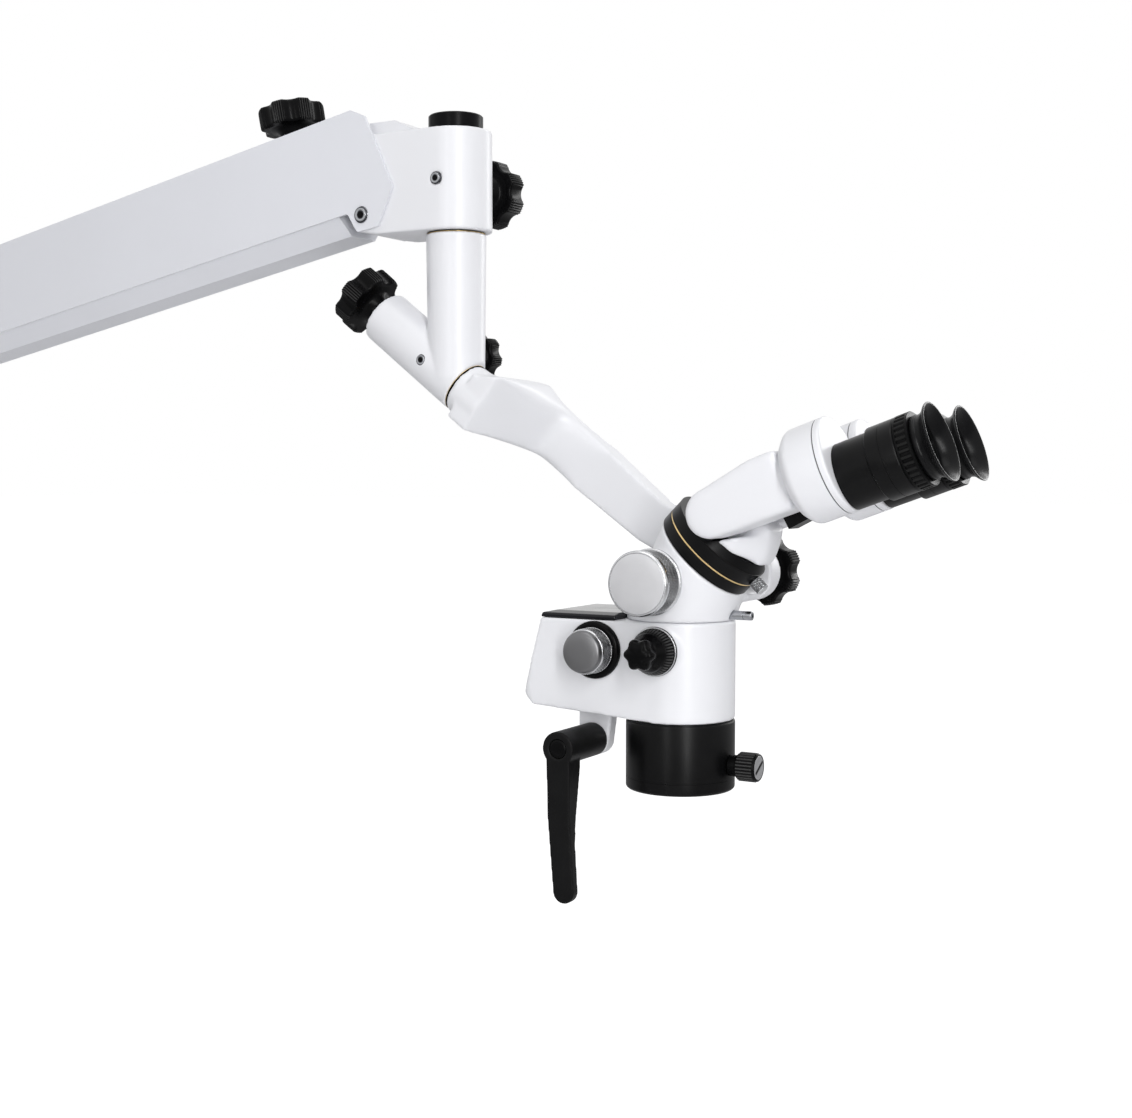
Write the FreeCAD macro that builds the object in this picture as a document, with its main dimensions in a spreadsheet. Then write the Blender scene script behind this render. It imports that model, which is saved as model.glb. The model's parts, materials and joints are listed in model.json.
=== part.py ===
import FreeCAD, Part
import math
import os
import re

import PartDesign
import Sketcher

# Surgical microscope head on a counterbalanced spring arm, in millimetres.
# The origin is on the axis of the rear spindle, at its shoulder. +Z is up and
# +X runs along the spring arm towards the eyepieces.

document = FreeCAD.newDocument("SurgicalMicroscope")
sheet = document.addObject("Spreadsheet::Sheet", "Sizes")
derived = {}
pieces = []


def full(text):
    """Write an expression out, with sheet cells for sizes and brackets for derived words."""
    def swap(match):
        word = match.group(0)
        if word in derived:
            return "(" + full(derived[word]) + ")"
        return "Sizes." + word if word in sizes else word
    return re.sub(r"[a-z][a-z_0-9]*", swap, str(text))


def number(text):
    return float(sheet.evalExpression(full(text)))


def bind(thing, name, text):
    thing.setExpression(name, full(text))


# Running fits and seats that many pieces share
fit_gap = 0.05
face_gap = 0.4
wall = 3

# Knuckles, spring arm and tie rod
knuckle_reach = 62
pivot_height = 14
tie_rise = 45
arm_length = 520
arm_slope = 10.8
block_radius = 25.5
block_height = 70
block_corner_in = 7
lug_radius = 12
pivot_pin_radius = 6
tie_pin_radius = 4
tie_slot_width = 13
tie_slot_floor = 38
tie_slot_depth = 18
spindle_radius = 11
bush_radius = 15
bush_length = 14
bush_inset = 3
mount_pin_radius = 12.5
mount_pin_length = 60
mount_pin_chamfer = 1.5
spindle_seat_radius = 11.5
cap_radius = 19.2
cap_height = 11
cap_wall = 2.5
arm_cheek = 2.1
arm_top = 74.4
arm_side_low = 4
arm_top_setback = 8
cover_drop = 8.2
cover_flat_width = 28
cover_setback = 21
cover_sheet = 1.6
ear_heel_in = 12
ear_low = 11
ear_toe = 12.7
ear_toe_drop = 11.5
ear_tip_out = 30
ear_tip_rise = 12.6
ear_shoulder = 16
ear_shoulder_rise = 67
ear_top = 5
ear_round = 3
cover_flange = 4
bulkhead_low = 8.5
bulkhead_high = 30
spring_tail = 60
spring_nut = 8
socket_radius = 2.6
socket_depth = 2.2
open_pivot_gap = 0.6
tie_rod_radius = 5
tie_eye_radius = 9
spring_axis = 16
spring_radius = 13
spring_wire = 1.8
spring_turns = 22
spring_start = 120
spring_length = 260
spring_plate = 5
spring_rod_radius = 4
bulkhead = 5
lid_width = 36
lid_length = 42
lid_height = 9.5
lid_slope = 20
lid_back = 19.6
screw_radius = 4.2
screw_length = 9
screw_rise = 34.7

# Star knobs
knob_radius = 24
knob_thick = 17
knob_neck_radius = 9
knob_neck = 13
knob_stud_radius = 4
knob_stud = 12
knob_scallop = 9
knob_scallop_out = 29
knob_lobes = 7
knob_round = 3
small_radius = 17.5
small_thick = 13
small_neck_radius = 7.5
small_neck = 10
small_scallop = 7
small_scallop_out = 21.5
lift_knob_back = 68
swivel_knob_rise = 33
joint_knob_back = 25
joint_knob_lift = 11

# Swivel post and slanted tube
joint_out = 7.7
joint_drop = 108.5
incline = 37.4
post_top_radius = 21.3
post_low_radius = 20
post_gap = 1.2
tube_radius = 19.4
tube_length = 87
tube_gap = 1
tube_bush_radius = 13
axle_radius = 9
spindle_depth = 34
spindle_collar = 4
tube_bush_length = 12
tube_bush_inset = 4

# Carrier arm, measured along and square to the slanted axis
collar_length = 26
bar_inner = 37.5
bar_thick = 17
bar_end_radius = 19
bar_root = 58
bar_top_start = 24.6
bar_top_end = 19
bar_low_start = 17
bar_low_end = 13.5
bar_straight_end = 158
knee_out = 28
knee_rise = 29.5
tilt_shaft_radius = 8

# Optical head, measured from the tilt axis
pivot_out = 206
pivot_drop = 235
optic_back = 29.5
casing_radius = 36
casing_top = 28.8
casing_bottom = 94.3
casing_back = 130
casing_lean = 14
casing_rise = 6.3
casing_corner = 7
bore_radius = 24
chamber_front = 64
cover_edge = 3
cover_rise = 4.5
cover_front = 60
cover_hip = 8
ring_back = 12
ring_rise = 13.5
ring_tilt = 45
ring_radius = 35.5
ring_bore = 26
low_ring_height = 8
gold_height = 1
top_ring_height = 9
boss_radius = 19
neck_boss_radius = 19.5
drum_axis_back = 31.6
drum_axis_low = 2.6
drum_radius = 17.5
drum_half_length = 20
drum_hole_radius = 6
big_knob_radius = 21
big_knob_depth = 21
big_knob_flange = 3
big_knob_seat = 38
stud_radius = 3
stud_out = 15
stud_drop = 25
dimmer_back = 73.9
dimmer_drop = 48.5
dimmer_bezel = 19
dimmer_radius = 15
dimmer_depth = 21
filter_back = 30
filter_drop = 47.3
filter_bezel = 16
filter_depth = 24
bezel_depth = 4.5
knob_shaft_radius = 3
lamp_radius = 12
lamp_depth = 30
lamp_window = 7
dimmer_shaft = 9
filter_shaft = 14
filter_grip = 6.5
boss_inner = 14
boss_gap = 0.3
neck_path_radius = 12
neck_path_length = 26
stud_seat = 8
lock_stem = 2
lock_radius = 4.5
lock_length = 9
lamp_drop = 52

# Objective
barrel_radius = 36
barrel_height = 45.5
barrel_gap = 0.8
barrel_wall = 6
barrel_lip = 1.5
cell_height = 18
cell_drop = 15
cell_wall = 3.5
lens_thick = 7
lens_crown = 3
focus_drop = 123
focus_neck_radius = 7
focus_neck = 6
focus_knob_radius = 9.5
focus_knob_length = 14

# Handle
handle_back = 86.4
handle_drop = 111
hub_radius = 11.2
hub_near = 64
bracket_far = 6
bracket_thick = 10
bracket_width = 25
pivot_stub_radius = 5
bolt_head_radius = 6
bolt_head = 2.2
bolt_recess = 3.2
lever_reach = 93
lever_tip_radius = 7.6
lever_lean = 4.1
lever_neck = 8.7
lever_waist_drop = 45
lever_thick = 15
lever_thin = 7
lever_taper_start = 14
lever_taper_end = 62

# Tilting binocular tube, measured from its tilt axis along the line of sight
tube_axis_out = 10.5
tube_axis_rise = 41.5
sight_rise = 20
pod_rear_radius = 16
pod_front_radius = 19.5
pod_length = 36
pod_lift = 3.2
pod_inner = 13.8
pod_outer = 48
pod_end = 55.5
bridge_start = 25
tongue_half = 13.4
trunnion_radius = 5
trunnion_half = 40
dome_height = 43
skirt_height = 5.5
skirt_taper = 4
pod_low_rise = 11
tongue_radius = 14
tongue_back = 14
tongue_low = 38
tongue_low_out = 19
tongue_front = 30
tongue_front_drop = 9.5
bridge_low = 9
shield_low = 22.5
shield_front_low = 20
shield_half = 8
prism_drum_radius = 30.4
prism_drum_length = 30
prism_drum_start = 58
prism_drum_lift = 1.4
prism_drum_chamfer = 5
spigot_radius = 16
spigot_length = 7
eye_half_spacing = 31
eye_offset = 9
eye_rear_radius = 21
eye_rear_length = 22
eye_front_radius = 23
eye_front_length = 18
eye_bore = 18
diopter_radius = 23.2
diopter_length = 9.2
diopter_core_radius = 17
eye_lens_radius = 12.5
eye_lens_thick = 4
cup_radius = 25
cup_length = 11.7
cup_sheet = 2

# The sheet gets one row for each size above, under its own word
sizes = {word: value for word, value in globals().items() if isinstance(value, (int, float))}
for row, (word, value) in enumerate(sizes.items(), 1):
    sheet.set(f"A{row}", word)
    sheet.set(f"B{row}", str(value))
    sheet.setAlias(f"B{row}", word)
document.recompute()

# Places worked out from the sizes above
derived.update(
    arm_half="block_radius + 0.3 + arm_cheek",
    block_x="2 * knuckle_reach + arm_length * cos(arm_slope)",
    axle_floor="tube_length - knob_stud - 1",
    block_z="arm_length * sin(arm_slope)",
    head_x="block_x + pivot_out",
    head_z="block_z - pivot_drop",
    pivot_u="(pivot_out - joint_out) * cos(incline) + (pivot_drop - joint_drop) * sin(incline)",
    pivot_w="(pivot_out - joint_out) * sin(incline) - (pivot_drop - joint_drop) * cos(incline)",
    rings_height="low_ring_height + gold_height + top_ring_height",
    casing_low_back="casing_bottom - casing_rise",
    barrel_inner="barrel_radius - barrel_wall",
    cell_radius="barrel_inner - fit_gap",
    eye_lift="prism_drum_lift - eye_offset",
    eye_start="prism_drum_start + prism_drum_length",
    diopter_start="eye_start + eye_rear_length + eye_front_length + 0.3",
    cup_start="diopter_start + diopter_length + 0.1",
)

# Frames: the X and Z of an origin and its turn about +Y
ROOT = ("0", "0", "0")
ARM = ("knuckle_reach", "pivot_height", "-arm_slope")
BLOCK = ("block_x", "block_z", "0")
SLANT = ("block_x + joint_out", "block_z - joint_drop", "incline")
HEAD = ("head_x", "head_z", "0")
RING = ("head_x - ring_back", "head_z + ring_rise", "ring_tilt")
TUBE = ("head_x + tube_axis_out", "head_z + tube_axis_rise", "-sight_rise")


def place(thing, frame, x=0, y=0, z=0, way="frame"):
    """Stand a piece in a frame, with its own Z along the frame's Z or X, or along +Y or -Y."""
    origin_x, origin_z, turn = frame
    axis, angle = {
        "frame": ((0, 1, 0), turn),
        "along": ((0, 1, 0), f"{turn} + 90"),
        "back": ((0, 1, 0), f"{turn} - 90"),
        "far": ((1, 0, 0), "-90"),
        "near": ((1, 0, 0), "90"),
        "flipped": ((0, 0, 1), "180"),
    }[way]
    thing.Placement = FreeCAD.Placement(
        FreeCAD.Vector(0, 0, 0), FreeCAD.Rotation(FreeCAD.Vector(*axis), number(angle)))
    bind(thing, "Placement.Base.x", f"{origin_x} + ({x}) * cos({turn}) + ({z}) * sin({turn})")
    bind(thing, "Placement.Base.y", y)
    bind(thing, "Placement.Base.z", f"{origin_z} - ({x}) * sin({turn}) + ({z}) * cos({turn})")
    bind(thing, "Placement.Rotation.Angle", angle)
    return thing


def keep(thing, label):
    """Count a piece among those that are written out."""
    thing.Label = label
    pieces.append(thing)
    return thing


def body(name):
    return document.addObject("PartDesign::Body", name)


def sketch_on(owner, role, shift):
    """Open a sketch on one of the body's origin planes, moved along its normal."""
    sketch = owner.newObject("Sketcher::SketchObject", "Sketch")
    plane = next(f for f in owner.Origin.OriginFeatures if f.Role == role)
    sketch.AttachmentSupport = (plane, [""])
    sketch.MapMode = "FlatFace"
    bind(sketch, "AttachmentOffset.Base.z", shift)
    return sketch


def constrain(sketch, kind, edge, point, text):
    value = number(text)
    parts = (kind, -1, 1, edge, point, value) if kind != "Radius" else (kind, edge, value)
    index = sketch.addConstraint(Sketcher.Constraint(*parts))
    sketch.setExpression(f"Constraints[{index}]", full(text))


def outline(sketch, corners):
    """Draw a closed outline, listed counterclockwise. A corner with a third value
    starts an arc of that radius which bulges outwards."""
    points = [FreeCAD.Vector(number(c[0]), number(c[1]), 0) for c in corners]
    count = len(corners)
    for i, corner in enumerate(corners):
        start, end = points[i], points[(i + 1) % count]
        if len(corner) == 2:
            sketch.addGeometry(Part.LineSegment(start, end), False)
            continue
        radius = number(corner[2])
        chord = end - start
        across = FreeCAD.Vector(-chord.y, chord.x, 0).normalize()
        sag = math.sqrt(max(radius ** 2 - chord.Length ** 2 / 4, 0))
        centre = (start + end) * 0.5 + across * sag
        circle = Part.Circle(centre, FreeCAD.Vector(0, 0, 1), radius)
        first = math.atan2(start.y - centre.y, start.x - centre.x)
        last = math.atan2(end.y - centre.y, end.x - centre.x)
        sketch.addGeometry(Part.ArcOfCircle(circle, first, last), False)
    for i in range(count):
        sketch.addConstraint(Sketcher.Constraint("Coincident", i, 2, (i + 1) % count, 1))
    for i, corner in enumerate(corners):
        constrain(sketch, "DistanceX", i, 1, corner[0])
        constrain(sketch, "DistanceY", i, 1, corner[1])
        if len(corner) == 2:
            continue
        chord = points[(i + 1) % count] - points[i]
        if chord.Length < 2 * number(corner[2]) - 1e-6:
            constrain(sketch, "Radius", i, 1, corner[2])
        elif abs(chord.x) < abs(chord.y):
            constrain(sketch, "DistanceX", i, 3, corner[0])
        else:
            constrain(sketch, "DistanceY", i, 3, corner[1])


def turned(name, corners):
    """A piece turned about its own Z, from a half outline of radius and height."""
    owner = body(name)
    sketch = sketch_on(owner, "XZ_Plane", 0)
    outline(sketch, corners)
    turn = owner.newObject("PartDesign::Revolution", "Turned")
    turn.Profile = sketch
    turn.ReferenceAxis = (sketch, ["V_Axis"])
    turn.Angle = 360
    return owner


def extrude(owner, kind, role, low, high, draw):
    """Pad or pocket a drawing between two heights along X, Y or Z, as its plane says."""
    shift = f"-({high})" if role == "XZ_Plane" else low
    sketch = sketch_on(owner, role, shift)
    draw(sketch)
    feature = owner.newObject("PartDesign::" + kind, kind)
    feature.Profile = sketch
    bind(feature, "Length", f"({high}) - ({low})")
    feature.Reversed = kind == "Pocket"
    return feature


def pad(owner, role, low, high, corners):
    return extrude(owner, "Pad", role, low, high, lambda s: outline(s, corners))


def pocket(owner, role, low, high, corners):
    return extrude(owner, "Pocket", role, low, high, lambda s: outline(s, corners))


def disc(x, y, radius):
    """A circle for a round pad or pocket."""
    def draw(sketch):
        centre = FreeCAD.Vector(number(x), number(y), 0)
        sketch.addGeometry(Part.Circle(centre, FreeCAD.Vector(0, 0, 1), number(radius)), False)
        constrain(sketch, "DistanceX", 0, 3, x)
        constrain(sketch, "DistanceY", 0, 3, y)
        constrain(sketch, "Radius", 0, 3, radius)
    return draw


def round_edges(owner, radius, chosen):
    """Round the edges of the body so far that the test picks out."""
    document.recompute()
    base = owner.Tip
    names = [f"Edge{i + 1}" for i, edge in enumerate(base.Shape.Edges) if chosen(edge)]
    feature = owner.newObject("PartDesign::Fillet", "Fillet")
    feature.Base = (base, names)
    bind(feature, "Radius", radius)
    return feature


def along(edge, axis):
    """Whether an edge is straight and lies along X, Y or Z of its body."""
    if edge.Curve.TypeId != "Part::GeomLine":
        return False
    way = edge.Curve.Direction
    return abs(abs(getattr(way, axis)) - 1) < 1e-6


def box_of(low_x, high_x, low_y, high_y, low_z, high_z):
    """A plain box piece between expression limits, in its frame."""
    thing = body("Box")
    pad(thing, "XY_Plane", low_z, high_z,
        [(low_x, low_y), (high_x, low_y), (high_x, high_y), (low_x, high_y)])
    return thing


def rod(radius, low, high):
    return turned("Rod", [("0", low), (radius, low), (radius, high), ("0", high)])


def ring(outer, inner, low, high):
    return turned("Ring", [(inner, low), (outer, low), (outer, high), (inner, high)])


def join(name, kind, first, second):
    """A boolean of two shapes: Cut, Fuse or Common."""
    thing = document.addObject("Part::" + kind, name)
    thing.Base, thing.Tool = first, second
    return thing


def cut(base, *tools):
    for tool in tools:
        base = join("Cut", "Cut", base, tool)
    return base


def fuse(base, *others):
    for other in others:
        base = join("Fuse", "Fuse", base, other)
    return base


def group(name, *solids):
    thing = document.addObject("Part::Compound", name)
    thing.Links = list(solids)
    return thing


def star_knob(label, frame, x=0, y=0, z=0, way="frame", kind="knob"):
    """A moulded clamp knob: threaded stud, flared neck and a scalloped grip."""
    neck, neck_radius, radius = f"{kind}_neck", f"{kind}_neck_radius", f"{kind}_radius"
    grip_end = f"{neck} + {kind}_thick"
    owner = turned("StarKnob", [
        ("0", "-knob_stud"), ("knob_stud_radius", "-knob_stud"), ("knob_stud_radius", "face_gap"),
        (neck_radius, "face_gap"), (neck_radius, f"{neck} / 2"),
        (f"{neck_radius} + 4", neck), (f"{radius} - 1", f"{neck} + 1"),
        (radius, f"{neck} + 3"), (radius, f"{grip_end} - knob_round"),
        (f"{radius} - knob_round", grip_end), ("0", grip_end)])
    scallop = extrude(owner, "Pocket", "XY_Plane", f"{neck} - 1", f"{grip_end} + 1",
                      disc(f"{kind}_scallop_out", "0", f"{kind}_scallop"))
    pattern = owner.newObject("PartDesign::PolarPattern", "Lobes")
    pattern.Originals = [scallop]
    pattern.Axis = (scallop.Profile[0], ["N_Axis"])
    pattern.Angle = 360
    bind(pattern, "Occurrences", "knob_lobes")
    owner.Tip = pattern
    return keep(place(owner, frame, x, y, z, way), label)


def knuckle(bore):
    """The upright block of a spring arm end: round barrel, flat flanks, pivot lug and tie slot."""
    back = "-(knuckle_reach + lug_radius)"
    owner = body("Knuckle")
    pad(owner, "XZ_Plane", "-block_radius", "block_radius", [
        ("0", "0"), ("0", "block_height"), ("-(knuckle_reach + 5)", "block_height"),
        (back, "block_height - block_corner_in"), (back, "pivot_height", "lug_radius"),
        ("-knuckle_reach", "pivot_height - lug_radius"), ("lug_radius - knuckle_reach", "0")])
    extrude(owner, "Pad", "XY_Plane", "0", "block_height", disc("0", "0", "block_radius"))
    extrude(owner, "Pocket", "XY_Plane", "-1", "block_height + 1", disc("0", "0", bore))
    slot_end = "tie_slot_depth - knuckle_reach"
    pocket(owner, "XZ_Plane", "-tie_slot_width / 2", "tie_slot_width / 2", [
        (f"{back} - 1", "tie_slot_floor"), (slot_end, "tie_slot_floor"),
        (slot_end, "block_height + 1"), (f"{back} - 1", "block_height + 1")])
    extrude(owner, "Pocket", "XZ_Plane", "-block_radius - 1", "block_radius + 1",
            disc("-knuckle_reach", "pivot_height", "pivot_pin_radius + fit_gap"))
    extrude(owner, "Pocket", "XZ_Plane", "-block_radius - 1", "block_radius + 1",
            disc("-knuckle_reach", "pivot_height + tie_rise", "tie_pin_radius"))
    return owner


# Rear knuckle, with the spindle that hangs in the next arm or ceiling column
rear_block = knuckle("spindle_seat_radius")
keep(place(rear_block, ROOT, way="flipped"), "rear_block")
rear_spindle = turned("RearSpindle", [
    ("0", "-mount_pin_length"), ("mount_pin_radius - mount_pin_chamfer", "-mount_pin_length"),
    ("mount_pin_radius", "mount_pin_chamfer - mount_pin_length"), ("mount_pin_radius", "0"),
    ("spindle_seat_radius", "0"), ("spindle_seat_radius", "block_height"), ("0", "block_height")])
keep(place(rear_spindle, ROOT), "rear_spindle")
rear_tie_pin = rod("tie_pin_radius", "-block_radius", "block_radius")
keep(place(rear_tie_pin, ROOT, "knuckle_reach", 0, "pivot_height + tie_rise", "far"), "rear_tie_pin")

# Spring arm: a channel of two cheeks and a top, closed below by a folded cover
inner = "(arm_half - arm_cheek)"
cheek = [
    ("ear_heel_in", "arm_side_low"), ("arm_length - ear_heel_in", "arm_side_low"),
    ("arm_length - ear_heel_in / 2", "-ear_low"), ("arm_length + ear_toe", "-ear_toe_drop"),
    ("arm_length + ear_tip_out", "ear_tip_rise"), ("arm_length + ear_shoulder", "ear_shoulder_rise"),
    ("arm_length + ear_top", "arm_top"), ("-ear_top", "arm_top"),
    ("-ear_shoulder", "ear_shoulder_rise"), ("-ear_tip_out", "ear_tip_rise"),
    ("-ear_toe", "-ear_toe_drop"), ("ear_heel_in / 2", "-ear_low")]
housing = body("ArmHousing")
lift_x = "arm_length - lift_knob_back"
pad(housing, "XZ_Plane", "-arm_half", f"-{inner}", cheek)
round_edges(housing, "ear_round", lambda e: along(e, "y"))
pad(housing, "XY_Plane", "arm_top - arm_cheek", "arm_top", [
    ("arm_top_setback", "-arm_half"), ("arm_length - arm_top_setback", "-arm_half"),
    ("arm_length - arm_top_setback", "arm_half"), ("arm_top_setback", "arm_half")])
pad(housing, "XZ_Plane", inner, "arm_half", cheek)
round_edges(housing, "ear_round", lambda e: along(e, "y") and e.BoundBox.YMin > 0)
extrude(housing, "Pad", "XY_Plane", "arm_top - knob_stud", "arm_top", disc(lift_x, "0", "knob_neck_radius"))
spring_end = "spring_start + spring_length"
for wall_start in ("spring_start - bulkhead", spring_end):
    pad(housing, "YZ_Plane", wall_start, f"{wall_start} + bulkhead", [
        (f"-{inner}", "bulkhead_low"), (inner, "bulkhead_low"),
        (inner, "bulkhead_high"), (f"-{inner}", "bulkhead_high")])
extrude(housing, "Pocket", "YZ_Plane", "spring_start - bulkhead - 1", f"{spring_end} + bulkhead + 1",
        disc("0", "spring_axis", "spring_rod_radius + fit_gap"))
extrude(housing, "Pocket", "XY_Plane", "arm_top - knob_stud - 1", "arm_top + 1",
        disc(lift_x, "0", "knob_stud_radius + fit_gap"))
for pivot_x in ("0", "arm_length"):
    extrude(housing, "Pocket", "XZ_Plane", "-arm_half - 1", "arm_half + 1",
            disc(pivot_x, "0", "pivot_pin_radius"))
keep(place(housing, ARM), "arm_housing")

flange_top = "(arm_side_low + cover_flange)"
flat = "(cover_flat_width / 2)"
sheet_in = "cover_sheet"
cover = body("ArmCover")
pad(cover, "YZ_Plane", "cover_setback", "arm_length - cover_setback", [
    (f"-{flat}", "-cover_drop"), (flat, "-cover_drop"), (inner, "arm_side_low"),
    (inner, flange_top), (f"{inner} - {sheet_in}", flange_top),
    (f"{inner} - {sheet_in}", "arm_side_low + 0.5"), (f"{flat} - 0.5", f"{sheet_in} - cover_drop"),
    (f"0.5 - {flat}", f"{sheet_in} - cover_drop"), (f"{sheet_in} - {inner}", "arm_side_low + 0.5"),
    (f"{sheet_in} - {inner}", flange_top), (f"-{inner}", flange_top), (f"-{inner}", "arm_side_low")])
keep(place(cover, ARM), "arm_lower_cover")


def socketed_pin(radius, low, high):
    """A round pin or screw with a socket in its upper end."""
    return turned("Pin", [
        ("0", low), (radius, low), (radius, f"{high} - 0.4"), (f"{radius} - 0.4", high),
        ("socket_radius", high), ("socket_radius", f"{high} - socket_depth"),
        ("0", f"{high} - socket_depth")])


pins = [place(socketed_pin("pivot_pin_radius", "-arm_half", "arm_half"), ARM, pivot_x, way="near")
        for pivot_x in ("0", "arm_length")]
keep(group("PivotPins", *pins), "arm_pivot_pins")

coil = document.addObject("Part::Helix", "Coil")
bind(coil, "Pitch", "(spring_length - spring_plate - 2 * spring_wire - 1) / spring_turns")
bind(coil, "Height", "spring_length - spring_plate - 2 * spring_wire - 1")
bind(coil, "Radius", "spring_radius - spring_wire")
wire = document.addObject("Part::Circle", "SpringWire")
bind(wire, "Radius", "spring_wire")
wire.Placement = FreeCAD.Placement(FreeCAD.Vector(0, 0, 0), FreeCAD.Rotation(FreeCAD.Vector(1, 0, 0), 90))
bind(wire, "Placement.Base.x", "spring_radius - spring_wire")
spring = document.addObject("Part::Sweep", "BalanceSpring")
spring.Sections = [wire]
spring.Spine = (coil, [])
spring.Solid = True
spring.Frenet = True
keep(place(spring, ARM, "spring_start + spring_plate + spring_wire + 0.5", 0, "spring_axis", "along"),
     "balance_spring")
pull_rod = turned("PullRod", [
    ("0", "-spring_tail"), ("spring_rod_radius", "-spring_tail"), ("spring_rod_radius", "0"),
    ("spring_radius", "0"), ("spring_radius", "spring_plate"), ("spring_rod_radius", "spring_plate"),
    ("spring_rod_radius", "spring_length + bulkhead + face_gap"),
    ("spring_rod_radius * 2", "spring_length + bulkhead + face_gap"),
    ("spring_rod_radius * 2", "spring_length + bulkhead + spring_nut"),
    ("0", "spring_length + bulkhead + spring_nut")])
keep(place(pull_rod, ARM, "spring_start", 0, "spring_axis", "along"), "spring_rod")
star_knob("arm_lift_knob", ARM, lift_x, 0, "arm_top")

# Tie rod: the upper bar of the parallelogram, open at its front pin
TIE = ("knuckle_reach", "pivot_height + tie_rise", "-arm_slope")
tie_rod = body("TieRod")
half = "(tie_slot_width / 2 - 0.7)"
pad(tie_rod, "XZ_Plane", "-tie_rod_radius", "tie_rod_radius", [
    ("0", "-tie_rod_radius"), ("arm_length", "-tie_rod_radius"),
    ("arm_length", "tie_rod_radius"), ("0", "tie_rod_radius")])
for eye_x in ("0", "arm_length"):
    extrude(tie_rod, "Pad", "XZ_Plane", f"-{half}", half, disc(eye_x, "0", "tie_eye_radius"))
extrude(tie_rod, "Pocket", "XZ_Plane", f"-{half} - 1", f"{half} + 1", disc("0", "0", "tie_pin_radius + fit_gap"))
extrude(tie_rod, "Pocket", "XZ_Plane", f"-{half} - 1", f"{half} + 1",
        disc("arm_length", "0", "tie_pin_radius + open_pivot_gap"))
keep(place(tie_rod, TIE), "tie_rod")

# Front knuckle
front_block = knuckle("bush_radius")
extrude(front_block, "Pocket", "XZ_Plane", "-block_radius - 1", "-block_radius + screw_length",
        disc("0", "screw_rise", "screw_radius"))
extrude(front_block, "Pocket", "XZ_Plane", "0", "block_radius + 1",
        disc("0", "swivel_knob_rise", "knob_stud_radius + fit_gap"))
keep(place(front_block, BLOCK), "front_block")
front_tie_pin = rod("tie_pin_radius", "-block_radius", "block_radius")
keep(place(front_tie_pin, BLOCK, "-knuckle_reach", 0, "pivot_height + tie_rise", "far"), "front_tie_pin")
bushes = [place(ring("bush_radius", "spindle_radius + fit_gap", low, f"{low} + bush_length"), BLOCK)
          for low in ("bush_inset", "(block_height - bush_inset - bush_length)")]
keep(group("SwivelBushes", *bushes), "swivel_bushes")
cap_in = "cap_radius - cap_wall"
cap_top = "block_height + cap_height"
cap = turned("Cap", [
    (cap_in, "block_height"), ("cap_radius", "block_height"), ("cap_radius", f"{cap_top} - 0.8"),
    ("cap_radius - 0.8", cap_top), ("0", cap_top), ("0", f"{cap_top} - cap_wall"),
    (cap_in, f"{cap_top} - cap_wall")])
keep(place(cap, BLOCK), "swivel_cap")
lid = body("Lid")
lid_end = "-(lid_back + lid_length)"
lid_top = "block_height + lid_height"
pad(lid, "XZ_Plane", "-lid_width / 2", "lid_width / 2", [
    (lid_end, "block_height"), ("-lid_back", "block_height"),
    ("-(lid_back + lid_slope)", lid_top), (lid_end, lid_top)])
keep(place(lid, BLOCK), "tie_slot_lid")
block_screw = socketed_pin("screw_radius", "-screw_length", "-0.4")
keep(place(block_screw, BLOCK, 0, "-block_radius", "screw_rise", "near"), "block_screw")
star_knob("swivel_brake_knob", BLOCK, 0, "block_radius", "swivel_knob_rise", "far")

# Swivel post: one casting of an upright post and a slanted tube
upright = document.addObject("Part::Cone", "Upright")
foot = "(joint_drop - joint_out * tan(incline))"
bind(upright, "Radius1", "post_low_radius")
bind(upright, "Radius2", "post_top_radius")
bind(upright, "Height", f"{foot} - post_gap")
place(upright, BLOCK, 0, 0, f"-{foot}")
slanted = place(rod("tube_radius", "-tube_length", "-tube_gap / 2"), SLANT, way="along")
trim = place(box_of("-tube_gap / 2", "tube_length", "-tube_length", "tube_length",
                    "-tube_length", "tube_length"), SLANT)
spindle_bore = place(rod("spindle_radius", "-spindle_depth", "1"), BLOCK)
tube_bore = place(rod("tube_bush_radius", "-tube_length - 1", "1"), SLANT, way="along")
joint_seat = "(post_low_radius + face_gap)"
stud_bore = place(rod("knob_stud_radius + fit_gap", "-knob_stud - 1", "1"), SLANT,
                  "-joint_knob_back", joint_seat, "joint_knob_lift", "far")
post = cut(fuse(upright, slanted), trim, spindle_bore, tube_bore, stud_bore)
keep(post, "swivel_post")
collar_low = "block_height + face_gap"
spindle = turned("Spindle", [
    ("0", "-spindle_depth"), ("spindle_radius", "-spindle_depth"), ("spindle_radius", collar_low),
    (f"{cap_in} - face_gap", collar_low), (f"{cap_in} - face_gap", f"{collar_low} + spindle_collar"),
    ("0", f"{collar_low} + spindle_collar")])
keep(place(spindle, BLOCK), "swivel_spindle")
sleeves = [place(ring("tube_bush_radius", "axle_radius + fit_gap", low, f"{low} + tube_bush_length"),
                 SLANT, way="along")
           for low in ("-(tube_bush_inset + tube_bush_length)", "(tube_bush_inset - tube_length)")]
keep(group("TubeBushes", *sleeves), "tube_bushes")
star_knob("joint_clamp_knob", SLANT, "-joint_knob_back", joint_seat, "joint_knob_lift", "far", "small")

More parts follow.
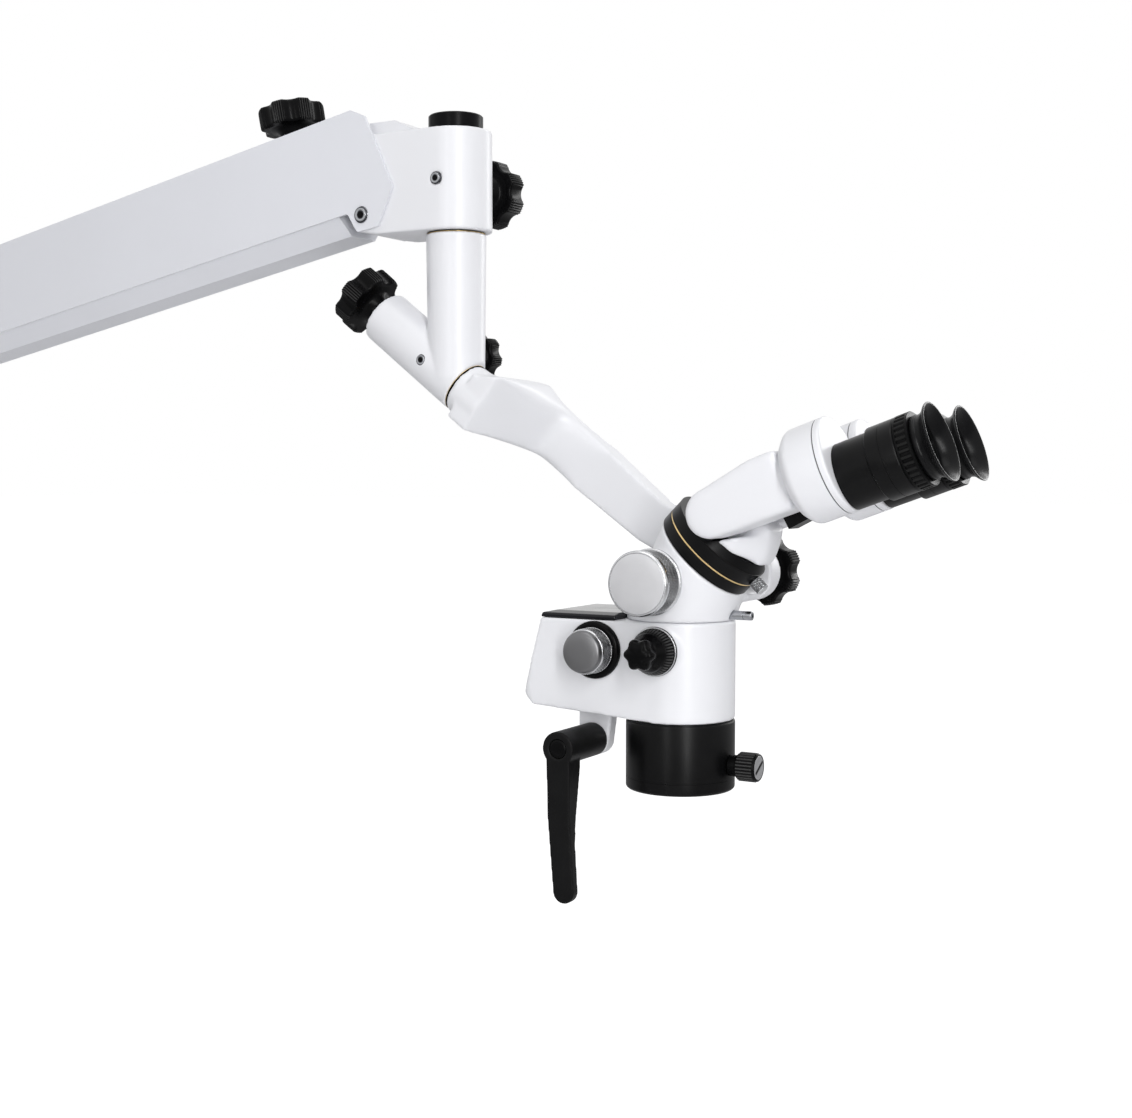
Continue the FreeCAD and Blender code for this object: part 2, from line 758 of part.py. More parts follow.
# Carrier arm: a round collar that jogs to the far side into a tapered bar
bar_out = "(bar_inner + bar_thick)"
side = body("CarrierSide")
pad(side, "XZ_Plane", "-tube_radius", f"{bar_out} + 1", [
    ("tube_gap / 2", "1 - tube_radius"), ("collar_length", "1 - tube_radius"),
    ("bar_root", "-bar_low_start"), ("bar_straight_end", "-bar_low_end"),
    ("pivot_u", "pivot_w - bar_end_radius", "bar_end_radius"),
    ("pivot_u", "pivot_w + bar_end_radius"), ("bar_straight_end", "bar_top_end"),
    ("knee_out + 16", "bar_top_start"), ("knee_out", "knee_rise"), ("collar_length / 2", "tube_radius - 1"),
    ("tube_gap / 2", "tube_radius - 1")])
plan = body("CarrierPlan")
pad(plan, "XY_Plane", "-tube_length", "tube_length", [
    ("collar_length / 3", "1 - tube_radius"), ("collar_length", "1 - tube_radius"),
    ("bar_root", "bar_inner"), ("pivot_u + bar_end_radius + 1", "bar_inner"),
    ("pivot_u + bar_end_radius + 1", bar_out), ("knee_out", bar_out),
    ("collar_length / 3", "tube_radius - 1")])
collar = place(rod("tube_radius", "tube_gap / 2", "collar_length"), SLANT, way="along")
bar = join("Bar", "Common", place(side, SLANT), place(plan, SLANT))
axle_bore = place(rod("axle_radius", "0", "collar_length - wall"), SLANT, way="along")
tilt_bore = place(rod("tilt_shaft_radius + fit_gap", "0", f"{bar_out} + 1"), SLANT,
                  "pivot_u", 0, "pivot_w", "far")
keep(cut(fuse(collar, bar), axle_bore, tilt_bore), "carrier_arm")
axle = turned("Axle", [
    ("0", "-axle_floor"), ("knob_stud_radius + fit_gap", "-axle_floor"),
    ("knob_stud_radius + fit_gap", "wall - tube_length"), ("axle_radius", "wall - tube_length"),
    ("axle_radius", "collar_length - wall"), ("0", "collar_length - wall")])
keep(place(axle, SLANT, way="along"), "carrier_axle")
star_knob("tube_end_knob", SLANT, "-tube_length", 0, 0, "back")

# Head casing: a shell with a round front, a slanting back and a chamber for the lamp
casing_plan = body("CasingPlan")
far_back = "-(casing_back + 1)"
pad(casing_plan, "XY_Plane", "-casing_bottom - 1", "1 - casing_top", [
    ("-optic_back", "-casing_radius", "casing_radius"), ("-optic_back", "casing_radius"),
    (far_back, "casing_radius"), (far_back, "-casing_radius")])
round_edges(casing_plan, "casing_corner", lambda e: along(e, "z") and e.BoundBox.XMax < number(far_back) + 1)
casing_side = body("CasingSide")
front = "casing_radius - optic_back + 1"
pad(casing_side, "XZ_Plane", "-casing_radius - 1", "casing_radius + 1", [
    (front, "-casing_bottom"), (front, "-casing_top"), ("casing_lean - casing_back", "-casing_top"),
    ("-casing_back", "casing_corner - casing_low_back"), ("casing_corner - casing_back", "-casing_low_back"),
    ("-optic_back", "-casing_bottom")])
shell = join("Shell", "Common", place(casing_plan, HEAD), place(casing_side, HEAD))
boss = place(rod("filter_bezel", "0", "casing_radius - bore_radius + 8"), HEAD,
             "-filter_back", "-casing_radius", "-filter_drop", "far")
path = place(rod("bore_radius", "-casing_bottom - 1", "1 - casing_top"), HEAD, "-optic_back")
chamber = body("Chamber")
chamber_half = "(casing_radius - wall)"
pad(chamber, "XZ_Plane", f"-{chamber_half}", chamber_half, [
    ("casing_corner + wall - casing_back", "wall + 2 - casing_low_back"),
    ("-chamber_front", "wall - casing_low_back"), ("-chamber_front", "1 - casing_top"),
    ("casing_lean + wall + 1 - casing_back", "1 - casing_top")])
window = place(rod("lamp_window", "-chamber_front - 1", "-optic_back"), HEAD, 0, 0, "-lamp_drop", "along")
dimmer_hole = place(rod("knob_shaft_radius + fit_gap", "-1", "wall + 1"), HEAD,
                    "-dimmer_back", "-casing_radius", "-dimmer_drop", "far")
filter_hole = place(rod("knob_shaft_radius + fit_gap", "-1", "casing_radius - 4"), HEAD,
                    "-filter_back", "-casing_radius", "-filter_drop", "far")
keep(cut(fuse(shell, boss), path, place(chamber, HEAD), window, dimmer_hole, filter_hole), "head_casing")
lamp = turned("Lamp", [
    ("0", "-lamp_depth"), ("lamp_radius", "-lamp_depth"), ("lamp_radius", "0"), ("0", "0")])
keep(place(lamp, HEAD, "-chamber_front", 0, "-lamp_drop", "along"), "led_module")

lid_side = body("CasingCoverSide")
cover_top = "cover_rise - casing_top"
pad(lid_side, "XZ_Plane", "-casing_radius", "casing_radius", [
    ("casing_lean - casing_back", "-casing_top"), ("-cover_front", "-casing_top"),
    ("-cover_front", cover_top), ("casing_lean + cover_hip - casing_back", cover_top),
    ("casing_lean + 1 - casing_back", "cover_edge - casing_top")])
lid_front = body("CasingCoverFront")
edge = "(casing_radius - 1)"
pad(lid_front, "YZ_Plane", "-casing_back", "0", [
    (f"-{edge}", "-casing_top"), (edge, "-casing_top"), (edge, "cover_edge - casing_top"),
    (f"{edge} - cover_hip", cover_top), (f"cover_hip - {edge}", cover_top),
    (f"-{edge}", "cover_edge - casing_top")])
lid_clear = place(rod("casing_radius + 0.5", "-casing_top - 1", "0"), HEAD, "-optic_back")
keep(cut(join("Hip", "Common", place(lid_side, HEAD), place(lid_front, HEAD)), lid_clear), "casing_cover")

# Neck housing, lofted from the round front of the casing to the slanted tube mount
low_ring = document.addObject("Part::Circle", "NeckFoot")
bind(low_ring, "Radius", "casing_radius")
place(low_ring, HEAD, "-optic_back", 0, "-casing_top")
high_ring = document.addObject("Part::Circle", "NeckHead")
bind(high_ring, "Radius", "ring_radius")
place(high_ring, RING)
loft = document.addObject("Part::Loft", "Neck")
loft.Sections = [low_ring, high_ring]
loft.Solid = True
loft.Ruled = True
tilt_boss = place(rod("boss_radius", "boss_inner", "casing_radius"), HEAD, way="far")
drum_boss = place(rod("neck_boss_radius", "0", "big_knob_seat"), HEAD,
                  "-drum_axis_back", 0, "-drum_axis_low", "near")
drum_bore = place(rod("drum_radius + 0.3", "-drum_half_length - 0.3", "big_knob_seat + 1"), HEAD,
                  "-drum_axis_back", 0, "-drum_axis_low", "near")
down_path = place(rod("neck_path_radius", "-casing_top - 1", "-drum_axis_low"), HEAD, "-optic_back")
up_path = place(rod("neck_path_radius", "-neck_path_length", "1"), RING)
over_ring = place(box_of("-tube_length", "tube_length", "-tube_length", "tube_length", "0", "tube_length"), RING)
plate = place(rod("boss_radius", "ring_radius + boss_gap", "bar_inner - boss_gap"), HEAD, way="far")
shaft_start = "(ring_radius + boss_gap)"
shaft_bore = place(rod("tilt_shaft_radius", shaft_start, "bar_inner"), HEAD, way="far")
stud_hole = place(rod("stud_radius", "-stud_seat", "casing_radius"), HEAD,
                  front, 0, "-stud_drop", "along")
neck = cut(fuse(loft, tilt_boss, drum_boss), over_ring, drum_bore, down_path, up_path)
keep(cut(fuse(neck, plate), shaft_bore, stud_hole), "neck_housing")
shaft_end = f"{bar_out} + 1"
tilt_shaft = turned("TiltShaft", [
    ("0", shaft_start), ("tilt_shaft_radius", shaft_start), ("tilt_shaft_radius", shaft_end),
    ("knob_stud_radius + fit_gap", shaft_end), ("knob_stud_radius + fit_gap", f"{shaft_end} - knob_stud - 1"),
    ("0", f"{shaft_end} - knob_stud - 1")])
keep(place(tilt_shaft, HEAD, way="far"), "tilt_shaft")
star_knob("tilt_clamp_knob", HEAD, 0, shaft_end, 0, "far")
stud = rod("stud_radius", "-stud_seat", "stud_out")
keep(place(stud, HEAD, front, 0, "-stud_drop", "along"), "index_stud")

# Tube mount: lower ring, brass line and the turning ring above it
keep(place(ring("ring_radius", "ring_bore", "0", "low_ring_height"), RING), "tube_mount_ring")
gold_top = "low_ring_height + gold_height"
keep(place(ring("ring_radius", "ring_bore", "low_ring_height", gold_top), RING), "brass_ring")
LEVEL = ("head_x + tube_axis_out", "head_z + tube_axis_rise", "0")
UNDER_POD = ("head_x + tube_axis_out", "head_z + tube_axis_rise", "-pod_low_rise")
reach = "(2 * dome_height)"
above = place(box_of(f"-{reach}", reach, f"-{reach}", reach, "-pod_rear_radius - 0.8", reach), UNDER_POD)
turning = turned("TurningRing", [
    ("ring_bore - wall", "1"), ("ring_bore - fit_gap", "1"), ("ring_bore - fit_gap", f"{gold_top} + 0.1"),
    ("ring_radius", f"{gold_top} + 0.1"), ("ring_radius", "rings_height"),
    ("ring_bore - wall", "rings_height")])
lock_z = "(rings_height - top_ring_height / 2)"
extrude(turning, "Pocket", "YZ_Plane", "0", "ring_radius + 1", disc("0", lock_z, "lock_stem + fit_gap"))
skirt_top = "rings_height + skirt_height"
skirt = turned("Skirt", [
    ("ring_bore - wall", "rings_height"), ("ring_radius - 0.5", "rings_height"),
    ("ring_radius - skirt_taper", skirt_top), ("ring_bore - wall", skirt_top)])
keep(fuse(place(turning, RING), cut(place(skirt, RING), above)), "tube_turning_ring")
lock = turned("LockScrew", [
    ("0", "-(ring_radius - ring_bore)"), ("lock_stem", "-(ring_radius - ring_bore)"),
    ("lock_stem", "face_gap"), ("lock_radius", "face_gap"), ("lock_radius", "lock_length - 1"),
    ("lock_radius - 1", "lock_length"), ("0", "lock_length")])
keep(place(lock, RING, "ring_radius", 0, lock_z, "along"), "tube_lock_screw")

# Magnification changer: knob outside, drum of lens pairs inside
knob_end = "big_knob_depth + face_gap"
big_knob = turned("BigKnob", [
    ("0", "drum_half_length - big_knob_seat"), ("knob_shaft_radius", "drum_half_length - big_knob_seat"),
    ("knob_shaft_radius", "face_gap"), ("big_knob_radius + 0.6", "face_gap"),
    ("big_knob_radius + 0.6", "big_knob_flange"), ("big_knob_radius", "big_knob_flange"),
    ("big_knob_radius", f"{knob_end} - 1"), ("big_knob_radius - 1", knob_end), ("0", knob_end)])
keep(place(big_knob, HEAD, "-drum_axis_back", "-big_knob_seat", "-drum_axis_low", "near"),
     "magnification_knob")
drum = body("Drum")
extrude(drum, "Pad", "XZ_Plane", "-drum_half_length", "drum_half_length", disc("0", "0", "drum_radius"))
for hole_y in ("-drum_half_length / 2", "drum_half_length / 2"):
    extrude(drum, "Pocket", "XY_Plane", "-drum_radius - 1", "drum_radius + 1",
            disc("0", hole_y, "drum_hole_radius"))
keep(place(drum, HEAD, "-drum_axis_back", 0, "-drum_axis_low"), "magnification_drum")

# Knobs on the side of the casing
dimmer = turned("DimmerKnob", [
    ("0", "-dimmer_shaft"), ("knob_shaft_radius", "-dimmer_shaft"), ("knob_shaft_radius", "face_gap"),
    ("dimmer_bezel", "face_gap"), ("dimmer_bezel", "bezel_depth - 1"), ("dimmer_bezel - 1", "bezel_depth"),
    ("dimmer_radius", "bezel_depth"), ("dimmer_radius", "dimmer_depth - 5"),
    ("dimmer_radius - 2", "dimmer_depth - 2"), ("dimmer_radius - 5", "dimmer_depth"), ("0", "dimmer_depth")])
keep(place(dimmer, HEAD, "-dimmer_back", "-casing_radius", "-dimmer_drop", "near"), "brightness_knob")
filter_knob = turned("FilterKnob", [
    ("0", "-filter_shaft"), ("knob_shaft_radius", "-filter_shaft"), ("knob_shaft_radius", "face_gap"),
    ("filter_bezel", "face_gap"), ("filter_bezel", "bezel_depth"), ("filter_bezel - 1", "bezel_depth + 1"),
    ("filter_bezel - 4", "filter_depth - 14"), ("filter_grip", "filter_depth - 9"),
    ("filter_grip", "filter_depth - 1.5"), ("filter_grip - 1.5", "filter_depth"), ("0", "filter_depth")])
keep(place(filter_knob, HEAD, "-filter_back", "-casing_radius", "-filter_drop", "near"), "filter_knob")

# Objective: barrel, sliding cell, lens and fine focus knob
OPTIC = ("head_x - optic_back", "head_z - casing_bottom", "0")
barrel_end = "-(barrel_gap + barrel_height)"
barrel = turned("Barrel", [
    ("barrel_inner", barrel_end), ("barrel_radius - barrel_lip", barrel_end),
    ("barrel_radius", f"{barrel_end} + barrel_lip"), ("barrel_radius", "-barrel_gap"),
    ("barrel_radius - 1.5", "-barrel_gap"), ("barrel_radius - 1.5", "0"), ("bore_radius", "0"),
    ("bore_radius", "-barrel_gap - wall"), ("barrel_inner", "-barrel_gap - wall")])
focus_z = "(casing_bottom - focus_drop)"
extrude(barrel, "Pocket", "YZ_Plane", "0", "barrel_radius + 1", disc("0", focus_z, "knob_shaft_radius + fit_gap"))
keep(place(barrel, OPTIC), "objective_barrel")
cell_low = "-(cell_drop + cell_height)"
lens_low = "-(cell_drop + cell_height - 3)"
cell = turned("Cell", [
    ("cell_radius - cell_wall - 2", cell_low), ("cell_radius", cell_low), ("cell_radius", "-cell_drop"),
    ("cell_radius - cell_wall", "-cell_drop"), ("cell_radius - cell_wall", lens_low),
    ("cell_radius - cell_wall - 2", lens_low)])
keep(place(cell, OPTIC), "objective_cell")
lens_edge = "cell_radius - cell_wall"
lens = turned("Lens", [
    ("0", f"{lens_low} - 1"), (f"{lens_edge} - 2.2", f"{lens_low} + 0"), (lens_edge, lens_low),
    (lens_edge, f"{lens_low} + lens_thick"), ("0", f"{lens_low} + lens_thick + lens_crown")])
keep(place(lens, OPTIC), "objective_lens")
grip_start = "focus_neck + face_gap"
grip_stop = f"{grip_start} + focus_knob_length"
focus = turned("FocusKnob", [
    ("0", "face_gap - barrel_wall"), ("knob_shaft_radius", "face_gap - barrel_wall"),
    ("knob_shaft_radius", "face_gap"), ("focus_neck_radius", "face_gap"),
    ("focus_neck_radius", grip_start), ("focus_knob_radius", f"{grip_start} + 0.5"),
    ("focus_knob_radius", f"{grip_stop} - 1"), ("focus_knob_radius - 1", grip_stop), ("0", grip_stop)])
keep(place(focus, OPTIC, "barrel_radius", 0, focus_z, "along"), "fine_focus_knob")

# Handle on its bracket under the casing
under = "casing_rise / (casing_back - casing_corner - optic_back)"


def underside(x):
    """Height of the sloping underside of the casing at a place left of the optical axis."""
    return f"-casing_bottom + (-({x}) - optic_back) * {under}"


bracket = body("Bracket")
hub_left = "-(handle_back + hub_radius)"
hub_right = "hub_radius - handle_back"
bracket_right = "bracket_width - handle_back - hub_radius"
bracket_near = "-(bracket_far + bracket_thick)"
pad(bracket, "XZ_Plane", bracket_near, "-bracket_far", [
    (hub_left, "-handle_drop", "hub_radius"), (hub_right, "-handle_drop"),
    (bracket_right, underside(bracket_right)), (hub_left, underside(hub_left))])
head_low = "(bolt_recess - face_gap - bolt_head - hub_near)"
extrude(bracket, "Pad", "XZ_Plane", f"{head_low} + bolt_head", bracket_near,
        disc("-handle_back", "-handle_drop", "pivot_stub_radius"))
extrude(bracket, "Pad", "XZ_Plane", head_low, f"{head_low} + bolt_head",
        disc("-handle_back", "-handle_drop", "bolt_head_radius"))
keep(place(bracket, HEAD), "handle_bracket")
lever = body("Lever")
tip_x = "(lever_lean - handle_back)"
tip_z = "-(handle_drop + lever_reach)"
back_face = "lever_thick - hub_near"
extrude(lever, "Pad", "XZ_Plane", "-hub_near", f"{bracket_near} - face_gap",
        disc("-handle_back", "-handle_drop", "hub_radius"))
pad(lever, "XZ_Plane", "-hub_near", back_face, [
    ("-(handle_back + lever_neck)", "-handle_drop"),
    ("-(handle_back + lever_tip_radius)", "-(handle_drop + lever_waist_drop)"),
    (f"{tip_x} - lever_tip_radius", tip_z, "lever_tip_radius"), (f"{tip_x} + lever_tip_radius", tip_z),
    ("lever_neck - handle_back", "-(handle_drop + lever_waist_drop)"),
    ("lever_neck - handle_back", "-handle_drop")])
pocket(lever, "YZ_Plane", "-(handle_back + hub_radius + 1)", "hub_radius + 1 - handle_back", [
    ("lever_thin - hub_near", "-(handle_drop + lever_reach + hub_radius)"),
    (f"{back_face} + 1", "-(handle_drop + lever_reach + hub_radius)"),
    (f"{back_face} + 1", "-(handle_drop + lever_taper_start)"),
    (back_face, "-(handle_drop + lever_taper_start)"),
    ("lever_thin - hub_near", "-(handle_drop + lever_taper_end)")])
extrude(lever, "Pocket", "XZ_Plane", "-hub_near - 1", bracket_near,
        disc("-handle_back", "-handle_drop", "pivot_stub_radius + fit_gap"))
extrude(lever, "Pocket", "XZ_Plane", "-hub_near - 1", "bolt_recess - hub_near",
        disc("-handle_back", "-handle_drop", "bolt_head_radius + face_gap"))
keep(place(lever, HEAD), "handle_lever")

# Base of the tilting tube: a low dome with a tongue that carries the trunnion
dome = document.addObject("Part::Ellipsoid", "Dome")
bind(dome, "Radius1", "dome_height")
bind(dome, "Radius2", "ring_radius - 2")
bind(dome, "Radius3", "ring_radius - 2")
dome.Angle1 = 0
place(dome, RING, 0, 0, "rings_height")
tongue = body("Tongue")
pad(tongue, "XZ_Plane", "-tongue_half", "tongue_half", [
    ("-tongue_back - 6", "-tongue_radius"), ("tongue_low_out - 8", "-tongue_low"),
    ("tongue_low_out", "-tongue_low"), ("tongue_front - 5", "10 - tongue_low"),
    ("tongue_front", "-tongue_front_drop"), ("tongue_radius", "0", "tongue_radius"),
    ("-tongue_radius", "0")])
base_cut = place(box_of(f"-{reach}", reach, f"-{reach}", reach, f"-{reach}", skirt_top), RING)
pin_bore = place(rod("trunnion_radius", "-pod_outer", "pod_outer"), LEVEL, way="far")
keep(cut(fuse(cut(dome, above), place(tongue, LEVEL)), base_cut, pin_bore), "tube_base")
keep(place(rod("trunnion_radius", "-trunnion_half", "trunnion_half"), LEVEL, way="far"), "trunnion_pin")

# Tilting tube: two prism pods and the bridge between them
pods = body("Pods")
pod_top = "pod_lift + pod_front_radius"
pod_outline = [
    ("0", "-pod_rear_radius"), ("pod_end", "-pod_rear_radius"), ("pod_end", pod_top),
    ("pod_length", pod_top), ("0", "pod_rear_radius", "pod_rear_radius")]
pad(pods, "XZ_Plane", "-pod_outer", "-pod_inner", pod_outline)
pad(pods, "XZ_Plane", "-pod_inner - 1", "pod_inner + 1", [
    ("bridge_start", "-bridge_low"), ("pod_end", "-bridge_low"),
    ("pod_end", "pod_front_radius"), ("bridge_start", "pod_rear_radius")])
pad(pods, "XZ_Plane", "pod_inner", "pod_outer", pod_outline)
for spigot_y in ("-eye_half_spacing", "eye_half_spacing"):
    extrude(pods, "Pad", "YZ_Plane", "pod_end", "pod_end + spigot_length",
            disc(spigot_y, "prism_drum_lift", "spigot_radius"))
extrude(pods, "Pocket", "XZ_Plane", "-trunnion_half - 1", "trunnion_half + 1",
        disc("0", "0", "trunnion_radius + fit_gap"))
keep(place(pods, TUBE), "binocular_housing")
shield = body("LightShield")
pad(shield, "XZ_Plane", "-shield_half", "shield_half", [
    ("bridge_start + 8", "-shield_low"), ("pod_end - 3", "-shield_front_low"),
    ("pod_end - 3", "-bridge_low"), ("bridge_start + 6", "-bridge_low")])
keep(place(shield, TUBE), "light_shield")

# Two prism drums with their eyepieces
cup_out = "diopter_core_radius + cup_sheet + 1"
cup_end = "cup_length"
for side_name, eye_y in (("left", "-eye_half_spacing"), ("right", "eye_half_spacing")):
    prism_drum = turned("PrismDrum", [
        ("0", "spigot_length"), ("spigot_radius + fit_gap", "spigot_length"),
        ("spigot_radius + fit_gap", "0"), ("prism_drum_radius - prism_drum_chamfer", "0"),
        ("prism_drum_radius", "prism_drum_chamfer"), ("prism_drum_radius", "prism_drum_length - 1.5"),
        ("prism_drum_radius - 1.5", "prism_drum_length"), ("0", "prism_drum_length")])
    extrude(prism_drum, "Pocket", "XY_Plane", "spigot_length - 1", "prism_drum_length + 1",
            disc("eye_offset", "0", "eye_lens_radius"))
    keep(place(prism_drum, TUBE, "prism_drum_start", eye_y, "prism_drum_lift", "along"),
         f"prism_drum_{side_name}")
    tube_end = "eye_rear_length + eye_front_length"
    eye_tube = turned("EyeTube", [
        ("eye_lens_radius", "0"), ("eye_rear_radius", "0"), ("eye_rear_radius", "eye_rear_length"),
        ("eye_front_radius", "eye_rear_length + 0.6"), ("eye_front_radius", tube_end),
        ("eye_bore", tube_end), ("eye_bore", "wall"), ("eye_lens_radius", "wall")])
    keep(place(eye_tube, TUBE, "eye_start", eye_y, "eye_lift", "along"), f"eyepiece_tube_{side_name}")
    diopter = turned("Diopter", [
        ("eye_lens_radius", "-10"), ("eye_bore - fit_gap", "-10"), ("eye_bore - fit_gap", "0"),
        ("diopter_radius", "0"), ("diopter_radius", "diopter_length"),
        ("diopter_core_radius", "diopter_length"), ("diopter_core_radius", "diopter_length + 3"),
        ("eye_lens_radius", "diopter_length + 3")])
    keep(place(diopter, TUBE, "diopter_start", eye_y, "eye_lift", "along"), f"diopter_ring_{side_name}")
    lens_mid = "(diopter_length - eye_lens_thick)"
    eye_lens = turned("EyeLens", [
        ("0", f"{lens_mid} - 1.5"), ("eye_lens_radius", lens_mid),
        ("eye_lens_radius", "diopter_length"), ("0", "diopter_length + 1.5")])
    keep(place(eye_lens, TUBE, "diopter_start", eye_y, "eye_lift", "along"), f"eye_lens_{side_name}")
    eyecup = turned("Eyecup", [
        ("diopter_core_radius", "0"), (cup_out, "0"), (cup_out, "cup_length / 3"),
        ("cup_radius", f"{cup_end} - 1.5"), ("cup_radius", cup_end), ("cup_radius - cup_sheet", cup_end),
        ("diopter_core_radius + 0.5", "cup_length / 2"), ("diopter_core_radius", "cup_length / 3")])
    keep(place(eyecup, TUBE, "cup_start", eye_y, "eye_lift", "along"), f"eyecup_{side_name}")

document.recompute()
failed = [thing.Label for thing in document.Objects if {"Invalid", "Error"} & set(thing.State)]
for piece in pieces:
    if piece.Shape.isNull() or not piece.Shape.isValid():
        failed.append(piece.Label)
if failed:
    raise SystemExit(f"These objects failed: {failed}")
os.makedirs("parts", exist_ok=True)
for piece in pieces:
    piece.Shape.exportStep(f"parts/{piece.Label}.step")
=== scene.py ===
"""A surgical microscope on a sprung balance arm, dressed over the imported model."""
import json
import math

import bpy
import numpy as np
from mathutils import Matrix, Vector


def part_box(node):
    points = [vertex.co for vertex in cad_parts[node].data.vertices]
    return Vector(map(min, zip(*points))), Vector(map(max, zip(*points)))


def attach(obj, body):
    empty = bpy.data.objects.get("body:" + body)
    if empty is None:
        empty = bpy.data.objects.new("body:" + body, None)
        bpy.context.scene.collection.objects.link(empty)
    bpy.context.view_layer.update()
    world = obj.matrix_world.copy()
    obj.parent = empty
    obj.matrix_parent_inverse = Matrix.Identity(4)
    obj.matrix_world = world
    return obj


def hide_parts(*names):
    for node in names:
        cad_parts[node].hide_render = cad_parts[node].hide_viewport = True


# Camera, floor and light
# A wide white room: the camera stands level with the eyepieces, a pale floor lies
# under the hanging head, and tall strip lamps draw streaks on its round parts.
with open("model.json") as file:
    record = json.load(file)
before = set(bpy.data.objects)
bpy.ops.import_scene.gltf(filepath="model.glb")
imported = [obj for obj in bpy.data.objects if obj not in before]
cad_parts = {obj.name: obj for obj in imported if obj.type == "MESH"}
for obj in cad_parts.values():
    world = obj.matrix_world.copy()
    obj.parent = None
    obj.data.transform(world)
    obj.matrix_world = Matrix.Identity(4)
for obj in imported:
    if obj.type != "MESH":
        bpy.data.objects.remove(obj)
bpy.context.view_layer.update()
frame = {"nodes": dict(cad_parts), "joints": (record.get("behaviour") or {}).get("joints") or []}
nodes = frame["nodes"]
scene = bpy.context.scene
scene.view_settings.view_transform = "Standard"

camera = bpy.data.objects.new("camera", bpy.data.cameras.new("camera"))
camera.data.lens, camera.data.sensor_width = 50.9, 36
camera.data.clip_start, camera.data.clip_end = 0.05, 120
camera.location = (1.2707, -0.9469, -0.0686)
camera.rotation_euler = (math.radians(86.8), 0, math.radians(30))
scene.collection.objects.link(camera)
scene.camera = camera


class Value:
    """One output socket of a node. Python sums on it add Math nodes and give back their result."""

    def __init__(self, nodes, socket):
        self.nodes, self.socket = nodes, socket

    def math(self, operation, *others):
        inputs = dict(enumerate((self, *others)))
        return self.nodes.node("ShaderNodeMath", {"operation": operation}, inputs)

    def __add__(self, other):
        return self.math("ADD", other)

    def __mul__(self, other):
        return self.math("MULTIPLY", other)

    __radd__, __rmul__ = __add__, __mul__

    def between(self, low, high):
        """Maps 0 to low and 1 to high, in a straight line."""
        return self * (high - low) + low


class Nodes:
    """The empty node tree of a material or of the world, filled by one method."""

    def __init__(self, block):
        self.block = block
        block.use_nodes = True
        block.node_tree.nodes.clear()

    def node(self, kind, settings=None, inputs=None, output=0):
        """Adds a node: its settings first, then the values or links of its sockets; gives back one output."""
        tree = self.block.node_tree
        node = tree.nodes.new(kind)
        for key, value in (settings or {}).items():
            setattr(node, key, value)
        for key, value in (inputs or {}).items():
            if isinstance(value, Value):
                tree.links.new(value.socket, node.inputs[key])
            elif node.inputs[key].type == "RGBA":
                node.inputs[key].default_value = (*value, 1)
            else:
                node.inputs[key].default_value = value
        return None if output is None else Value(self, node.outputs[output])


class Finish(Nodes):
    """A material, read in the object's own coordinates."""

    def __init__(self, name):
        super().__init__(bpy.data.materials.new(name))
        self.at = self.node("ShaderNodeTexCoord", output="Object")

    def noise(self, scale, detail=2.0, stretch=(1, 1, 1)):
        """Smooth noise from 0 to 1, scale grains to the metre, drawn out by stretch."""
        at = self.node("ShaderNodeVectorMath", {"operation": "MULTIPLY"}, {0: self.at, 1: stretch})
        return self.node("ShaderNodeTexNoise", inputs={"Vector": at, "Scale": scale, "Detail": detail})

    def blend(self, share, low, high):
        """One colour turning into another as share goes from 0 to 1."""
        return self.node("ShaderNodeMix", {"data_type": "RGBA"}, {0: share, 6: low, 7: high}, output=2)

    def relief(self, sign):
        """How far a point stands up, or sinks where sign is -1, in the surface's own relief, from 0 to 1."""
        height = self.node("ShaderNodeAttribute", {"attribute_name": "relief"}, output="Fac")
        return self.node("ShaderNodeMath", {"operation": "MULTIPLY", "use_clamp": True}, {0: height, 1: sign})

    def bump(self, height, depth):
        """Relief of the given depth in metres where height runs from 0 to 1."""
        return self.node("ShaderNodeBump", inputs={"Height": height, "Distance": depth, "Strength": 1.0})

    def shade(self, **sockets):
        """Closes the material with a Principled shader; each keyword names one of its sockets."""
        named = {key.replace("_", " ").title().replace("Ior", "IOR"): value for key, value in sockets.items()}
        return self.close(self.node("ShaderNodeBsdfPrincipled", inputs=named))

    def close(self, shader):
        """Joins a shader to the material's output and gives back the material."""
        self.node("ShaderNodeOutputMaterial", inputs={"Surface": shader}, output=None)
        return self.block


def floor_finish():
    """Pale matt floor that takes the object's shadow, with a glow on it that only the camera sees."""
    pale = Finish("floor")
    seen = pale.node("ShaderNodeLightPath", output="Is Camera Ray")
    matt = pale.node("ShaderNodeBsdfDiffuse", inputs={"Color": (0.86, 0.86, 0.87)})
    glow = pale.node("ShaderNodeEmission", inputs={"Color": (1, 1, 1), "Strength": seen * 0.75})
    return pale.close(pale.node("ShaderNodeAddShader", inputs={0: matt, 1: glow}))


floor_half, floor_level = 40, -0.95
corners = [(x * floor_half, y * floor_half, floor_level) for x, y in ((-1, -1), (1, -1), (1, 1), (-1, 1))]
floor = bpy.data.objects.new("floor", bpy.data.meshes.new("floor"))
floor.data.from_pydata(corners, [], [(0, 1, 2, 3)])
floor.data.materials.append(floor_finish())
scene.collection.objects.link(floor)

# The room is white where the camera, a mirror or glass sees it, and lights less than it shows.
scene.world = bpy.data.worlds.new("room")
room = Nodes(scene.world)
straight, through, mirrored = (
    room.node("ShaderNodeLightPath", output=f"Is {ray} Ray") for ray in ("Camera", "Transmission", "Glossy"))
seen = (straight + through + mirrored).math("MINIMUM", 1)
sky = room.node("ShaderNodeBackground", inputs={"Color": (1, 1, 1), "Strength": seen.between(0.43, 1)})
room.node("ShaderNodeOutputWorld", inputs={"Surface": sky}, output=None)

